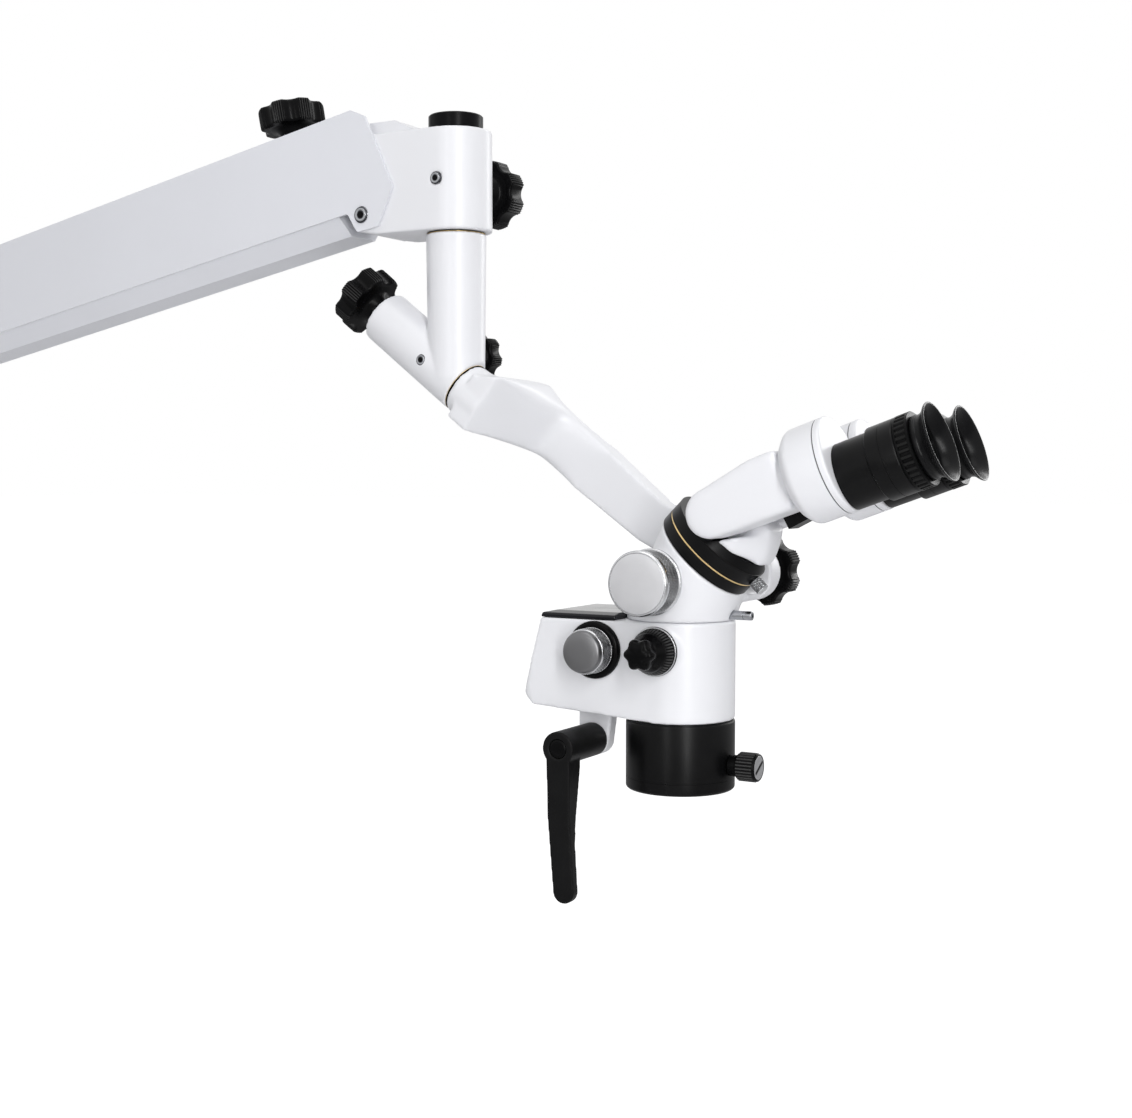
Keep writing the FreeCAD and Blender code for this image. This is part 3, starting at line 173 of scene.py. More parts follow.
# Each lamp has a name, a place, the point it faces, its width and height in metres, and its watts.
for name, place, target, wide, high, power in (
        ("key_strip", (1.85, -1.25, 0.3), (0.8, 0, -0.15), 0.18, 1.5, 17),
        ("front_strip", (0.75, -1.8, 0.1), (0.75, 0, -0.1), 0.14, 1.3, 4),
        ("top_panel", (0.8, -0.4, 1.7), (0.7, 0, 0), 1.2, 1.2, 6),
        ("back_strip", (1.3, 1.5, 0.6), (0.8, 0, -0.1), 0.30, 1.4, 8)):
    lamp = bpy.data.objects.new(name, bpy.data.lights.new(name, "AREA"))
    lamp.data.shape = "RECTANGLE"
    lamp.data.size, lamp.data.size_y, lamp.data.energy = wide, high, power
    lamp.location = place
    lamp.rotation_euler = (Vector(target) - Vector(place)).to_track_quat("-Z", "Y").to_euler()
    scene.collection.objects.link(lamp)

# Rear knuckle
# An aluminium casting that is painted white, with a turned steel spindle pressed
# into it: the spindle hangs in the next arm or the ceiling column.


def paint(name, colour, roughness, grain):
    """Stoved paint: orange peel of the given grain, a faint drift of tone, a clear layer, and painted shade
    that darkens its seams and hollows.
    """
    peel_depth, seam_shade = 0.000012, (0.08, 0.08, 0.085)
    coat = Finish(name)
    peel = coat.noise(grain)
    drift = coat.noise(9, 3)
    pale = tuple(min(part * 1.03, 0.95) for part in colour)
    dull = tuple(part * 0.965 for part in colour)
    return coat.shade(
        # Where the relief sinks, as in a drum's seam, the colour turns dark grey: painted shade.
        base_color=coat.blend(coat.relief(-1), coat.blend(drift, dull, pale), seam_shade),
        roughness=drift.between(roughness - 0.05, roughness + 0.07),
        normal=coat.bump(peel, peel_depth), coat_weight=0.12, coat_roughness=0.2)


def machined(name, colour, roughness, stretch=(1, 1, 1), grain=2600, depth=0.000006):
    """Cut metal: fine tool lines, drawn out by stretch, show in its gloss and relief; its hollows, such as a
    knurl's grooves, are painted dark as shade.
    """
    metal = Finish(name)
    lines = metal.noise(grain, 1, stretch)
    tint = metal.noise(60)
    dark = tuple(part * 0.86 for part in colour)
    hollow_shade = tuple(part * 0.12 for part in colour)
    return metal.shade(
        # Sunk relief turns the colour nearly black: painted shade in the grooves.
        base_color=metal.blend(metal.relief(-1), metal.blend(tint, dark, colour), hollow_shade), metallic=1.0,
        roughness=(lines * 0.6 + tint * 0.4).between(roughness - 0.1, roughness + 0.12),
        normal=metal.bump(lines, depth))


def dress(material, *names):
    """Gives CAD nodes a material."""
    for name in names:
        nodes[name].data.materials.clear()
        nodes[name].data.materials.append(material)


def frozen(item):
    """The mesh that an object has once its modifiers have worked."""
    return bpy.data.meshes.new_from_object(item.evaluated_get(bpy.context.evaluated_depsgraph_get()))


def cast(body, material, node, grain=0.0011, passes=7, melted=None):
    """A casting made from a CAD node: its skin is recast in an even grain, then each point moves again and
    again halfway to the mean of its neighbours, which rounds edges and fills inner corners as a mould does.
    Melted names a place, a reach and more passes that only work near that place, in millimetres."""
    whole = bpy.data.objects.new(node + "_whole", nodes[node].data.copy())
    scene.collection.objects.link(whole)
    whole.modifiers.new("merge", "WELD").merge_threshold = 0.00001
    recast = whole.modifiers.new("recast", "REMESH")
    recast.mode, recast.voxel_size = "VOXEL", grain
    soften = whole.modifiers.new("soften", "SMOOTH")
    soften.factor, soften.iterations = 0.5, passes
    skin = bpy.data.objects.new(node + "_skin", frozen(whole))
    bpy.data.objects.remove(whole)
    scene.collection.objects.link(skin)
    if melted:
        place, reach, more = Vector(melted[0]) * 0.001, melted[1] * 0.001, melted[2]
        near = skin.vertex_groups.new(name="near")
        for point in skin.data.vertices:
            share = 2 - 2 * (point.co - place).length / reach
            if share > 0:
                near.add([point.index], min(share, 1), "REPLACE")
        melt = skin.modifiers.new("melt", "SMOOTH")
        melt.factor, melt.iterations, melt.vertex_group = 0.5, more, "near"
        skin.data = frozen(skin)
        skin.modifiers.clear()
    skin.data.materials.clear()
    skin.data.materials.append(material)
    skin.data.shade_smooth()
    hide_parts(node)
    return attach(skin, body)


white = paint("white_paint", (0.80, 0.805, 0.835), 0.38, 650)
steel = machined("turned_steel", (0.56, 0.57, 0.58), 0.3, (1, 1, 9))
cast("rear_knuckle", white, "rear_block")
dress(steel, "rear_spindle", "rear_tie_pin")

# Spring arm
# Folded sheet steel with a coarser powder coat: two cheeks and a top in one
# channel, a folded cover below, and chromed pivot pins with hexagon sockets.
sheet = paint("powder_coat", (0.745, 0.755, 0.80), 0.4, 420)
chrome = machined("chrome", (0.42, 0.43, 0.45), 0.2, grain=900, depth=0.000001)
# Dark metal for the screw collars: painted shade for the gap round each screw head.
gap_shade_metal = machined("painted_gap_shade", (0.07, 0.072, 0.08), 0.3)
spring_steel = machined("spring_steel", (0.24, 0.24, 0.26), 0.34)
dress(sheet, "arm_housing", "arm_lower_cover")
dress(chrome, "arm_pivot_pins")
dress(spring_steel, "balance_spring")
dress(steel, "spring_rod", "tie_rod")
joints = {joint["name"]: joint for joint in frame["joints"]}


def anchor(joint):
    """A point on a joint's axis, in millimetres, and the direction of the axis."""
    return np.array(joints[joint]["pos_m"]) * 1000, np.array(joints[joint]["axis"], float)


def box(node):
    """The lowest and the highest corner of a CAD node, in millimetres."""
    return np.array(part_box(node)) * 1000


def rounded(*corners, steps=5):
    """A profile through corners given as height, radius and bend. Each bend is a curve with the corner as its
    control point: (1 - t)^2 a + 2 t (1 - t) corner + t^2 b, where a lies before the corner and b after it."""
    points = np.array([corner[:2] for corner in corners], float)
    run = []
    for index, corner in enumerate(corners):
        bend = corner[2] if len(corner) > 2 else 0
        if not bend or index in (0, len(points) - 1):
            run.append(points[index][None])
            continue
        here = points[index]
        before, after = points[index - 1] - here, points[index + 1] - here
        start = here + before * min(bend / np.linalg.norm(before), 0.5)
        stop = here + after * min(bend / np.linalg.norm(after), 0.5)
        t = np.linspace(0, 1, steps + 1)[:, None]
        run.append((1 - t) ** 2 * start + 2 * t * (1 - t) * here + t ** 2 * stop)
    return np.concatenate(run)


def turned(profile, columns=72, relief=None, deep=1.0):
    """A profile of heights and radii carried round the axis: x = r cos a, y = r sin a, z = height, where r is
    the profile's radius plus the relief at that height, radius and angle. The fourth value is the relief
    divided by deep."""
    height, radius = np.asarray(profile, float).T[:, :, None]
    angle = np.linspace(0, 2 * np.pi, columns, endpoint=False)[None]
    lift = 0 * (height + angle) + (0 if relief is None else relief(height, radius, angle))
    reach = radius + lift
    return np.stack([reach * np.cos(angle), reach * np.sin(angle), height + 0 * angle, lift / deep], -1)


def laid(grid, origin, axis, across=None):
    """Turns a grid so that its z runs along axis and its x along across, then moves it to origin, in
    millimetres."""
    z = np.array(axis, float) / np.linalg.norm(axis)
    if across is None:
        across = (1, 0, 0) if abs(z[1]) > 0.5 else (0, 1, 0)
    x = np.array(across, float) - z * np.dot(across, z)
    x /= np.linalg.norm(x)
    placed = grid[..., :3] @ np.array([x, np.cross(z, x), z]) + np.array(origin, float)
    return np.concatenate([placed, grid[..., 3:]], -1)


def woven(grid, looped=False, first=0):
    """The points of a grid, and the faces between its rows and round its columns, numbered from first. The
    end rows close on their mean point, or on each other where looped. The sign of the enclosed volume tells
    whether the faces look outwards, and they are turned where they don't."""
    rows, columns = grid.shape[:2]
    index = np.arange(rows * columns).reshape(rows, columns)
    low, high = (index, np.roll(index, -1, 0)) if looped else (index[:-1], index[1:])
    quads = np.stack([low, np.roll(low, -1, 1), np.roll(high, -1, 1), high], -1).reshape(-1, 4)
    points = grid.reshape(rows * columns, -1)
    at = points[:, :3]
    area = np.cross(at[quads[:, 1]] - at[quads[:, 3]], at[quads[:, 2]] - at[quads[:, 0]])
    volume = np.einsum("ij,ij->", at[quads].mean(1) - at.mean(0), area)
    faces = (quads + first).tolist()
    if not looped:
        points = np.concatenate([points, grid[:1].mean(1), grid[-1:].mean(1)])
        middle = np.full(columns, rows * columns)
        start, stop = index[0], index[-1]
        faces += (np.stack([np.roll(start, -1), start, middle], -1) + first).tolist()
        faces += (np.stack([stop, np.roll(stop, -1), middle + 1], -1) + first).tolist()
    if volume < 0:
        faces = [face[::-1] for face in faces]
    return points, faces


def made(name, body, slot, material, *grids, looped=False, stands_for=(), crease=38):
    """Joins grids into one piece, sharp where faces meet past the crease angle; it rides on its body. Its
    relief is kept as an attribute from -1 to 1, so that materials can paint shade into hollows and a
    highlight onto crests."""
    points, faces, count = [], [], 0
    for grid in grids:
        if grid.shape[-1] == 3:
            grid = np.concatenate([grid, 0 * grid[..., :1]], -1)
        some, their = woven(grid, looped, count)
        points.append(some)
        faces += their
        count += len(some)
    points = np.concatenate(points)
    mesh = bpy.data.meshes.new(name)
    mesh.from_pydata(points[:, :3] * 0.001, [], faces)
    relief = mesh.attributes.new("relief", "FLOAT", "POINT")
    relief.data.foreach_set("value", np.clip(points[:, 3], -1, 1))
    mesh.materials.append(material)
    mesh.shade_smooth()
    mesh.set_sharp_from_angle(angle=math.radians(crease))
    item = bpy.data.objects.new(name, mesh)
    scene.collection.objects.link(item)
    if stands_for:
        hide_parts(*stands_for)
    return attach(item, body)


def moulded(name, colour, roughness, grain=1400, depth=0.000012, sheen=0.0, highlight_grey=0.05, shine=0.07):
    """Moulded plastic or rubber: a fine skin grain, a gloss that drifts where hands rub it, and crests
    painted paler as a highlight.
    """
    plastic = Finish(name)
    skin = plastic.noise(grain, 3)
    rubbed = plastic.noise(70, 3)
    pale = tuple(part * 1.5 + 0.001 for part in colour)
    crest_highlight = (highlight_grey, highlight_grey, highlight_grey)
    return plastic.shade(
        # Raised relief, such as ribs and lobes, turns grey: a painted highlight.
        base_color=plastic.blend(plastic.relief(1), plastic.blend(rubbed, colour, pale), crest_highlight),
        roughness=rubbed.between(roughness - 0.07, roughness + 0.09), normal=plastic.bump(skin, depth),
        sheen_weight=sheen, specular_ior_level=shine)


cap_black = moulded("cap_black", (0.002, 0.002, 0.0025), 0.3)


def socket_screw(name, body, origin, axis, radius, rise, stands_for=()):
    """A cylinder head screw: a dark collar of the given radius and rise, which is painted shade for the gap
    round the head, a bevelled chromed head in it, and a flat dark hexagon in that as painted shade for its
    socket."""
    collar = rounded((-0.6, radius - 0.3), (0.05, radius, 0.1), (rise - 0.4, radius),
                     (rise, radius - 0.5, 0.3), (rise, radius * 0.8))
    head = rounded((rise - 0.5, radius * 0.86), (rise + 0.2, radius * 0.84, 0.3),
                   (rise + 0.3, radius * 0.7), (rise - 0.1, radius * 0.5))
    hexagon = ((rise - 0.3, radius * 0.3), (rise + 0.34, radius * 0.46), (rise + 0.35, radius * 0.2))
    made(name, body, "steel", gap_shade_metal, laid(turned(collar, 48), origin, axis), stands_for=stands_for)
    made(name + "_head", body, "chrome", chrome, laid(turned(head, 48), origin, axis))
    # The flat dark hexagon is painted shade for the socket's hollow.
    made(name + "_socket_shade", body, "black_plastic", cap_black, laid(turned(hexagon, 6), origin, axis))


rear_pivot = anchor("arm_lift")[0]
front_pivot = anchor("front_knuckle_level")[0]
up = anchor("lift_knob_turn")[1]
along = np.array((up[2], 0, -up[0]))
arm_half = box("arm_housing")[1, 1]
for side_name, side in (("near", -1), ("far", 1)):
    for end, pivot in (("rear", rear_pivot), ("front", front_pivot)):
        socket_screw(f"pivot_screw_{end}_{side_name}", "spring_arm", pivot + (0, side * arm_half, 0),
                     (0, side, 0), 5.6, 1.2)

# Each end of the lower cover is closed by a tab, set in a little from the edge. Its outline is given by
# distances across and above the line between the pivots.
arm_length = np.linalg.norm(front_pivot - rear_pivot)
cover_gap, tab_inset, tab_thick = 21, 0.2, 1.9
tab_outline = ((-25.5, 7.6), (-25.5, 4.2), (-13.8, -7.9), (13.8, -7.9), (25.5, 4.2), (25.5, 7.6))
across, above = np.array(tab_outline).T[:, :, None]
for end, start in (("rear", cover_gap + tab_inset),
                   ("front", arm_length - cover_gap - tab_inset - tab_thick)):
    faces = [rear_pivot + distance * along + above * up + across * (0, 1, 0)
             for distance in (start, start + tab_thick)]
    made("cover_tab_" + end, "spring_arm", "white_sheet", sheet, np.array(faces))

# Clamp knobs
# Five moulded star knobs in glossy black plastic, each on a threaded stud: seven
# lobes with fine ribs between them, a flared neck, and a plug in the end.
lobe_count, ribs_to_lobe = 7, 12


def lobes(radius, hollow, out):
    """Relief of a star: along each ray the edge is the radius or the near side of the hollow, a circle of the
    given size whose middle lies out from the axis; the two meet in a soft minimum. The relief fades towards
    the axis, and ribs run between the hollows."""
    soft, rib, rib_fade = 0.7, 0.34, 2.2

    def relief(height, at, angle):
        turn = (angle * lobe_count / (2 * np.pi) + 0.5) % 1 - 0.5
        lean = turn * 2 * np.pi / lobe_count
        inside = np.clip(hollow ** 2 - (out * np.sin(lean)) ** 2, 0, None)
        near_side = np.where(inside > 0, out * np.cos(lean) - np.sqrt(inside), radius + 4)
        edge = -soft * np.logaddexp(-radius / soft, -near_side / soft)
        weight = np.clip((at - radius * 0.62) / (radius * 0.3), 0, 1) ** 2
        wave = rib * np.cos(angle * lobe_count * ribs_to_lobe)
        flank = (at > radius - 1.2) & (height > 0)
        ribbed = wave * np.clip((edge - radius + rib_fade) / 2, 0, 1)
        return weight * (edge - radius) + np.where(flank, ribbed, 0)
    return relief


gloss_black = moulded("gloss_black", (0.0018, 0.0018, 0.002), 0.24)


def star_knob(node, joint, across, sizes, way=1, clear=0):
    """One star knob: a flared neck under a lobed grip with rounded rims, and a plug set into its end. It
    stands on its joint's axis, clear of the joint's point by some millimetres, and faces back where way
    is -1."""
    radius, thick, neck, neck_radius, hollow, out = sizes
    top = neck + thick
    profile = rounded(
        (-2, neck_radius - 1), (0.4, neck_radius - 1), (0.4, neck_radius, 0.4), (neck * 0.45, neck_radius, 2),
        (neck - 0.6, neck_radius + 3.4, 2.5), (neck + 0.4, radius * 0.72, 1), (neck + 0.2, radius - 0.2, 2.4),
        (neck + thick * 0.5, radius), (top - 0.2, radius, 3.2), (top, radius * 0.62, 1),
        (top - 1.0, radius * 0.55, 0.5), (top - 1.0, 1.5))
    grip = turned(profile, lobe_count * 72, lobes(radius, hollow, out), 0.4)
    plug = turned(
        rounded((top - 2, radius * 0.5), (top - 0.35, radius * 0.5, 0.5), (top - 0.1, radius * 0.2)), 64)
    seat, axis = anchor(joint)
    placed = [laid(grid, seat + clear * axis, way * axis, across) for grid in (grip, plug)]
    made(node + "_grip", joints[joint]["child"], "black_plastic", gloss_black, *placed, stands_for=(node,))


# A knob's sizes: radius, thickness, length and radius of its neck, radius and distance of its hollows.
large = (24, 17, 13, 9, 9, 29.8)
small = (17.5, 13, 10, 7.5, 7, 22.1)
short = (24, 16, 8.5, 9, 9, 29.8)
tube_face, tube_axis = anchor("carrier_turn")
tube_up = np.array((-tube_axis[2], 0, tube_axis[0]))
star_knob("arm_lift_knob", "lift_knob_turn", along, large)
star_knob("swivel_brake_knob", "swivel_knob_turn", (1, 0, 0), large)
star_knob("joint_clamp_knob", "joint_knob_turn", tube_axis, small, clear=1)
star_knob("tube_end_knob", "tube_knob_turn", tube_up, large, way=-1)
star_knob("tilt_clamp_knob", "tilt_knob_turn", (1, 0, 0), short)

# Front knuckle
# The same casting as the rear one, turned round: a turned black cap closes the
# swivel bearing, a lid covers the tie rod, and a chromed screw locks the bush.
cast("front_knuckle", white, "front_block")
dress(white, "tie_slot_lid")
dress(steel, "front_tie_pin")
bronze = machined("bearing_bronze", (0.58, 0.40, 0.20), 0.32)
dress(bronze, "swivel_bushes")
dress(cap_black, "swivel_cap")
near = np.array((0, -1, 0))
screw_low, screw_high = box("block_screw")
screw_seat = (screw_low + screw_high) / 2
screw_seat[1] = screw_low[1] - 0.2
socket_screw("bush_lock_screw", "front_knuckle", screw_seat, near, 4.2, 0.9, ("block_screw",))

# Swivel post
# One casting of an upright post and a slanted tube. Dark washers with a brass
# face show as thin rings at both of its joints; a small screw locks the tube.
cast("post", white, "swivel_post")
dress(steel, "swivel_spindle")
dress(bronze, "tube_bushes")
brass = machined("brass", (0.83, 0.62, 0.30), 0.26, (1, 1, 4))
dark_metal = machined("black_washer", (0.02, 0.019, 0.017), 0.4)
post_face, post_axis = anchor("post_swivel")
washer_sink, washer_thick = 0.84, 0.25
for joint, seat, axis, inner, outer in (
        ("post", post_face - washer_sink * post_axis, post_axis, 11.2, 20.6),
        ("tube", tube_face, tube_axis, 9.2, 19.0)):
    for layer, low, metal in (("brass", -0.35, brass), ("dark", 0.05, dark_metal)):
        high = low + washer_thick
        ring = turned(rounded((low, inner), (low, outer, 0.1), (high, outer, 0.1), (high, inner)), 96)
        made(f"{joint}_washer_{layer}", "post", "brass", metal, laid(ring, seat, axis), looped=True)

lock_pin_back, tube_side = 32, 18.5
pin_seat = tube_face - lock_pin_back * tube_axis + tube_side * near
socket_screw("tube_lock_pin", "post", pin_seat, near, 4.0, 0.9)

# Carrier arm
# A cast arm that leaves the tube on a round collar, jogs to the far side of the
# head and tapers to its pivot; a turned axle in it carries the weight.
knee = (690, 30, -28)
cast("carrier", white, "carrier_arm", 0.0013, 9, (knee, 56, 300))
dress(steel, "carrier_axle")

# Head casing and neck
# A painted casting with a round front and a slanting back, a glossy black lid on
# top, and a neck that grows out of it to the slanted tube mount.
cast("head", white, "head_casing", 0.0012, 16)
cast("head", white, "neck_housing", 0.0011, 14)
lid_black = moulded("lid_black", (0.004, 0.004, 0.006), 0.14, 900, 0.000004, shine=0.3)
cast("head", lid_black, "casing_cover", 0.0006, 4)
dress(steel, "tilt_shaft")
stud_low, stud_high = box("index_stud")
stud_sunk = 7
stud_seat = (stud_low[0] + stud_sunk, 0, (stud_low[2] + stud_high[2]) / 2)
stud = turned(rounded(
    (-8, 3), (9.2, 3), (9.2, 2.6), (10.2, 2.6), (10.2, 3), (15, 3, 0.7), (15, 1.3), (14, 1.2), (14, 0.4)), 48)
made("index_stud_pin", "head", "chrome", chrome, laid(stud, stud_seat, (1, 0, 0)), stands_for=("index_stud",))
dress(machined("lamp_metal", (0.7, 0.71, 0.72), 0.35), "led_module")

# Tube mount rings
# Two turned rings of black anodised aluminium with a brass line between them;
# a small knurled screw locks the upper one, which carries the tilting tube.
satin_black = moulded("anodised_black", (0.002, 0.002, 0.0022), 0.3, 2200, 0.000005, shine=0.13)
mount, mount_axis = anchor("tube_turn")
ring_bore, ring_radius, ring_top = 26, 35.5, 7.9
low_ring = turned(rounded(
    (0.1, ring_bore), (0.1, 35.4, 0.5), (ring_top, ring_radius, 0.5), (ring_top, ring_bore)), 128)
made("mount_ring_low", "head", "black_anodised", satin_black, laid(low_ring, mount, mount_axis), looped=True,
     stands_for=("tube_mount_ring",))
line_radius, line_top = 35.2, 9.0
line = turned(rounded((ring_top, ring_bore), (ring_top, line_radius, 0.2), (line_top, line_radius, 0.2),
                      (line_top, ring_bore)), 128)
made("brass_line", "head", "brass", brass, laid(line, mount, mount_axis), looped=True,
     stands_for=("brass_ring",))
dress(satin_black, "tube_turning_ring")


def knurl(depth, count, pitch, start, stop):
    """Relief of a diamond knurl: two slanting sets of ridges, and the lower of the two gives the height, so
    that each crossing stands up as a small pyramid. A ridge rises as 1 - |2 f - 1| over its share f of a
    turn."""
    def relief(height, at, angle):
        ridges = []
        for way in (1, -1):
            share = (angle * count / (2 * np.pi) + way * (height - start) / pitch) % 1
            ridges.append(1 - np.abs(2 * share - 1))
        return np.where((height > start) & (height < stop), depth * (np.minimum(*ridges) - 1), 0)
    return relief


def banded(before, start, stop, radius, steps, after):
    """A profile with an evenly stepped straight band between two other runs."""
    band = np.stack([np.linspace(start, stop, steps), np.full(steps, radius)], -1)
    return np.concatenate([before, band, after])


lock_metal = machined("lock_screw_metal", (0.66, 0.67, 0.69), 0.25)
lock_teeth = 20
lock_profile = banded(
    rounded((-9.5, 2), (0.4, 2), (0.4, 4.2), (1.0, 4.5)), 1.2, 8.0, 4.5, 20,
    rounded((8.2, 4.3), (9.0, 3.4), (9.0, 1)))
lock = turned(lock_profile, lock_teeth * 9, knurl(0.5, lock_teeth, 1.75, 1.1, 8.1), 0.45)
made("lock_screw_head", "tube_lock", "silver", lock_metal, laid(lock, *anchor("tube_lock_turn")),
     stands_for=("tube_lock_screw",))

# Magnification knob
# A turned aluminium knob on the side of the neck: satin face in a polished rim,
# a fine diamond knurl round its band, and a drum of lens pairs on its shaft.
silver = machined("satin_silver", (0.76, 0.76, 0.78), 0.4, (1, 6, 1))
bright = machined("polished_rim", (0.66, 0.665, 0.68), 0.24)
big_seat = anchor("magnification_turn")[0]
big_teeth = 64
big_profile = banded(
    rounded((-18, 3), (0.4, 3), (0.4, 20.8), (0.4, 21.6, 0.4), (2.8, 21.6, 0.5), (3.2, 20.5, 0.3)),
    3.6, 16.2, 21.0, 64,
    rounded((16.6, 20.4), (17.0, 20.4), (17.2, 21.0, 0.3), (20.2, 21.0, 1.0), (21.3, 20.0, 0.4), (21.3, 19.3),
            (20.9, 19.2), (20.9, 4)))
big_band = turned(big_profile, big_teeth * 8, knurl(0.7, big_teeth, 2.1, 3.5, 16.3), 0.6)
big_face = turned(rounded((20.5, 19.2), (21.15, 19.2, 0.3), (21.25, 12), (21.3, 2)), 96)
made("magnification_band", "magnification", "silver", bright, laid(big_band, big_seat, near),
     stands_for=("magnification_knob",))
made("magnification_face", "magnification", "silver", silver, laid(big_face, big_seat, near))
dress(steel, "magnification_drum")

# Brightness and filter knobs
# The dimmer is a domed grey cap in a knurled metal ring over a black bezel. The
# filter knob is black: a ribbed rim, a smooth bowl, and a lobed grip to turn.
dim_seat = anchor("brightness_turn")[0]
bezel = turned(rounded(
    (-9, 3), (0.4, 3), (0.4, 18.6), (0.4, 19, 0.3), (3.2, 18.9, 1.4), (4.5, 17.2, 0.8), (4.5, 15.4),
    (3.6, 15.2), (3.6, 6)), 112)
made("brightness_bezel", "brightness", "black_plastic", gloss_black, laid(bezel, dim_seat, near),
     stands_for=("brightness_knob",))
dim_teeth = 52
dim_profile = banded(
    rounded((3.6, 13), (3.6, 14.6), (4.8, 14.6), (5.0, 15.0)), 5.2, 14.8, 15.0, 49,
    rounded((15.1, 14.7), (16.2, 14.2, 0.5), (16.2, 13.0)))
dim_ring = turned(dim_profile, dim_teeth * 8, knurl(0.6, dim_teeth, 1.9, 5.1, 14.9), 0.5)
made("brightness_ring", "brightness", "silver", bright, laid(dim_ring, dim_seat, near))
dark_grey = machined("dimmer_grey", (0.2, 0.2, 0.205), 0.4)
dome = turned(rounded((14.5, 13.9), (16.4, 14.0, 0.5), (19.9, 13.4, 2.8), (20.9, 9.0, 4), (21, 2)), 96)
made("brightness_dome", "brightness", "silver", dark_grey, laid(dome, dim_seat, near))


def ribs(depth, count, start, stop):
    """Relief of straight ribs between two heights: a cosine wave round the axis, squared off at the top."""
    def relief(height, at, angle):
        wave = np.clip(1.6 * np.cos(angle * count), -1, 1) * 0.5 + 0.5
        return np.where((height >= start) & (height <= stop), depth * wave, 0)
    return relief


rim_ribs, nose_lobes = 44, 6


def grip(height, at, angle):
    """Relief of the filter knob: ribs along the cone of its rim, and shallow lobes round its nose, which grow
    with the height above its waist and fade towards the axis."""
    wave = np.clip(1.8 * np.cos(rim_ribs * angle), -1, 1)
    rim = np.where((height > 2.9) & (height < 10.4), 0.35 * wave + 0.35, 0)
    grown = np.clip((height - 16.5) / 2.5, 0, 1) * np.clip(at / 8, 0, 1)
    return rim + grown * 0.9 * (np.cos(nose_lobes * angle) - 1)


filter_seat = anchor("filter_turn")[0]
filter_profile = rounded(
    (-14, 3), (0.4, 3), (0.4, 15.6), (0.7, 16.0, 0.2), (2.0, 16.0, 0.3), (2.8, 15.0), (2.85, 14.9), (5, 14.2),
    (7.5, 13.3), (10.4, 12.2), (10.5, 12.8), (12, 12.4, 1.2), (15.4, 10.4, 1.6), (17.6, 9.3, 1.0),
    (19.5, 10.6, 1.0), (22.5, 10.7, 1), (25.6, 9.8, 2.0), (26.6, 6.5, 1.5), (26.8, 1.5))
filter_grip = turned(filter_profile, rim_ribs * 12, grip, 0.7)
made("filter_grip", "filter", "black_plastic", gloss_black, laid(filter_grip, filter_seat, near),
     stands_for=("filter_knob",), crease=50)
filter_edge = turned(rounded((2.2, 14), (2.2, 15.9, 0.2), (2.7, 15.7, 0.2), (2.7, 14)), 96)
made("filter_edge", "filter", "silver", bright, laid(filter_edge, filter_seat, near), looped=True)

# Objective
# A black anodised barrel under the casing holds the sliding cell with the front
# lens. A fluted knob with a slotted metal end moves the cell by a screw.
focus_seat, focus_axis = anchor("fine_focus_turn")
barrel_radius = 36
optic = (focus_seat[0] - barrel_radius, 0, box("objective_barrel")[1, 2])
barrel = turned(rounded(
    (-46.3, 30), (-46.3, 34.6, 0.4), (-45.1, barrel_radius, 1.0), (-38.5, barrel_radius), (-38.4, 35.8),
    (-38.0, 35.8), (-37.9, barrel_radius), (-2.2, barrel_radius), (-0.8, 35.7, 0.6), (-0.8, 34.6), (0, 34.5),
    (0, 24), (-6.8, 24), (-6.8, 30)), 144)
made("barrel_skin", "head", "black_anodised", satin_black, laid(barrel, optic, (0, 0, 1)), looped=True,
     stands_for=("objective_barrel",), crease=25)
dress(satin_black, "objective_cell")


def coated(name, tint):
    """Coated glass seen over a dark bore: nearly black, with a painted reflection of its coating, a bloom of
    the given tint in its colour that grows with the angle of sight."""
    glass = Finish(name)
    painted_bloom = glass.node("ShaderNodeLayerWeight", inputs={"Blend": 0.35}, output="Facing")
    haze = glass.noise(40)
    return glass.shade(
        # The tint towards grazing sight is a painted reflection of the coating.
        base_color=glass.blend(painted_bloom * 0.8 + haze * 0.2, (0.010, 0.012, 0.016), tint),
        roughness=haze.between(0.02, 0.06), coat_weight=1.0, coat_roughness=0.02, coat_ior=1.9)


dress(coated("front_lens_glass", (0.10, 0.05, 0.16)), "objective_lens")
flute_count = 26
focus_profile = rounded(
    (0.4, 3), (0.4, 7.0, 0.5), (6.2, 7.0, 0.4), (6.4, 8.6, 0.4), (7.3, 8.7), (7.5, 8.7), (12, 8.7),
    (18.5, 8.7), (18.7, 9.2), (20.0, 9.0, 0.8), (20.4, 8.0), (20.1, 7.7), (20.1, 2))
fluted = turned(focus_profile, flute_count * 12, ribs(0.8, flute_count, 7.4, 18.6), 0.8)
made("focus_grip", "fine_focus", "black_plastic", gloss_black, laid(fluted, focus_seat, focus_axis),
     stands_for=("fine_focus_knob",))
slot_disc = turned(rounded((19.8, 7.6), (20.25, 7.6, 0.2), (20.35, 6.5), (20.35, 0.6)), 96)
made("focus_disc", "fine_focus", "silver", bright, laid(slot_disc, focus_seat, focus_axis))

# The slot in the disc is a bar with rounded ends: x = l s(cos a), y = w s(sin a), where s is the sign of its
# value times the fourth root of its size.
bar_columns, bar_half_length, bar_half_width = 32, 6.6, 1.1
angle = np.linspace(0, 2 * np.pi, bar_columns, endpoint=False)
bar = np.stack([np.cos(angle), np.sin(angle)], -1)
bar = np.sign(bar) * np.abs(bar) ** 0.25 * (bar_half_length, bar_half_width)
slot = np.stack([np.column_stack([bar * share, np.full(bar_columns, height)])
                 for height, share in ((20.1, 1.0), (20.38, 1.0), (20.4, 0.97))])
made("focus_slot", "fine_focus", "black_plastic", gloss_black,
     laid(slot, focus_seat, focus_axis, (0, 1, 0.6)))

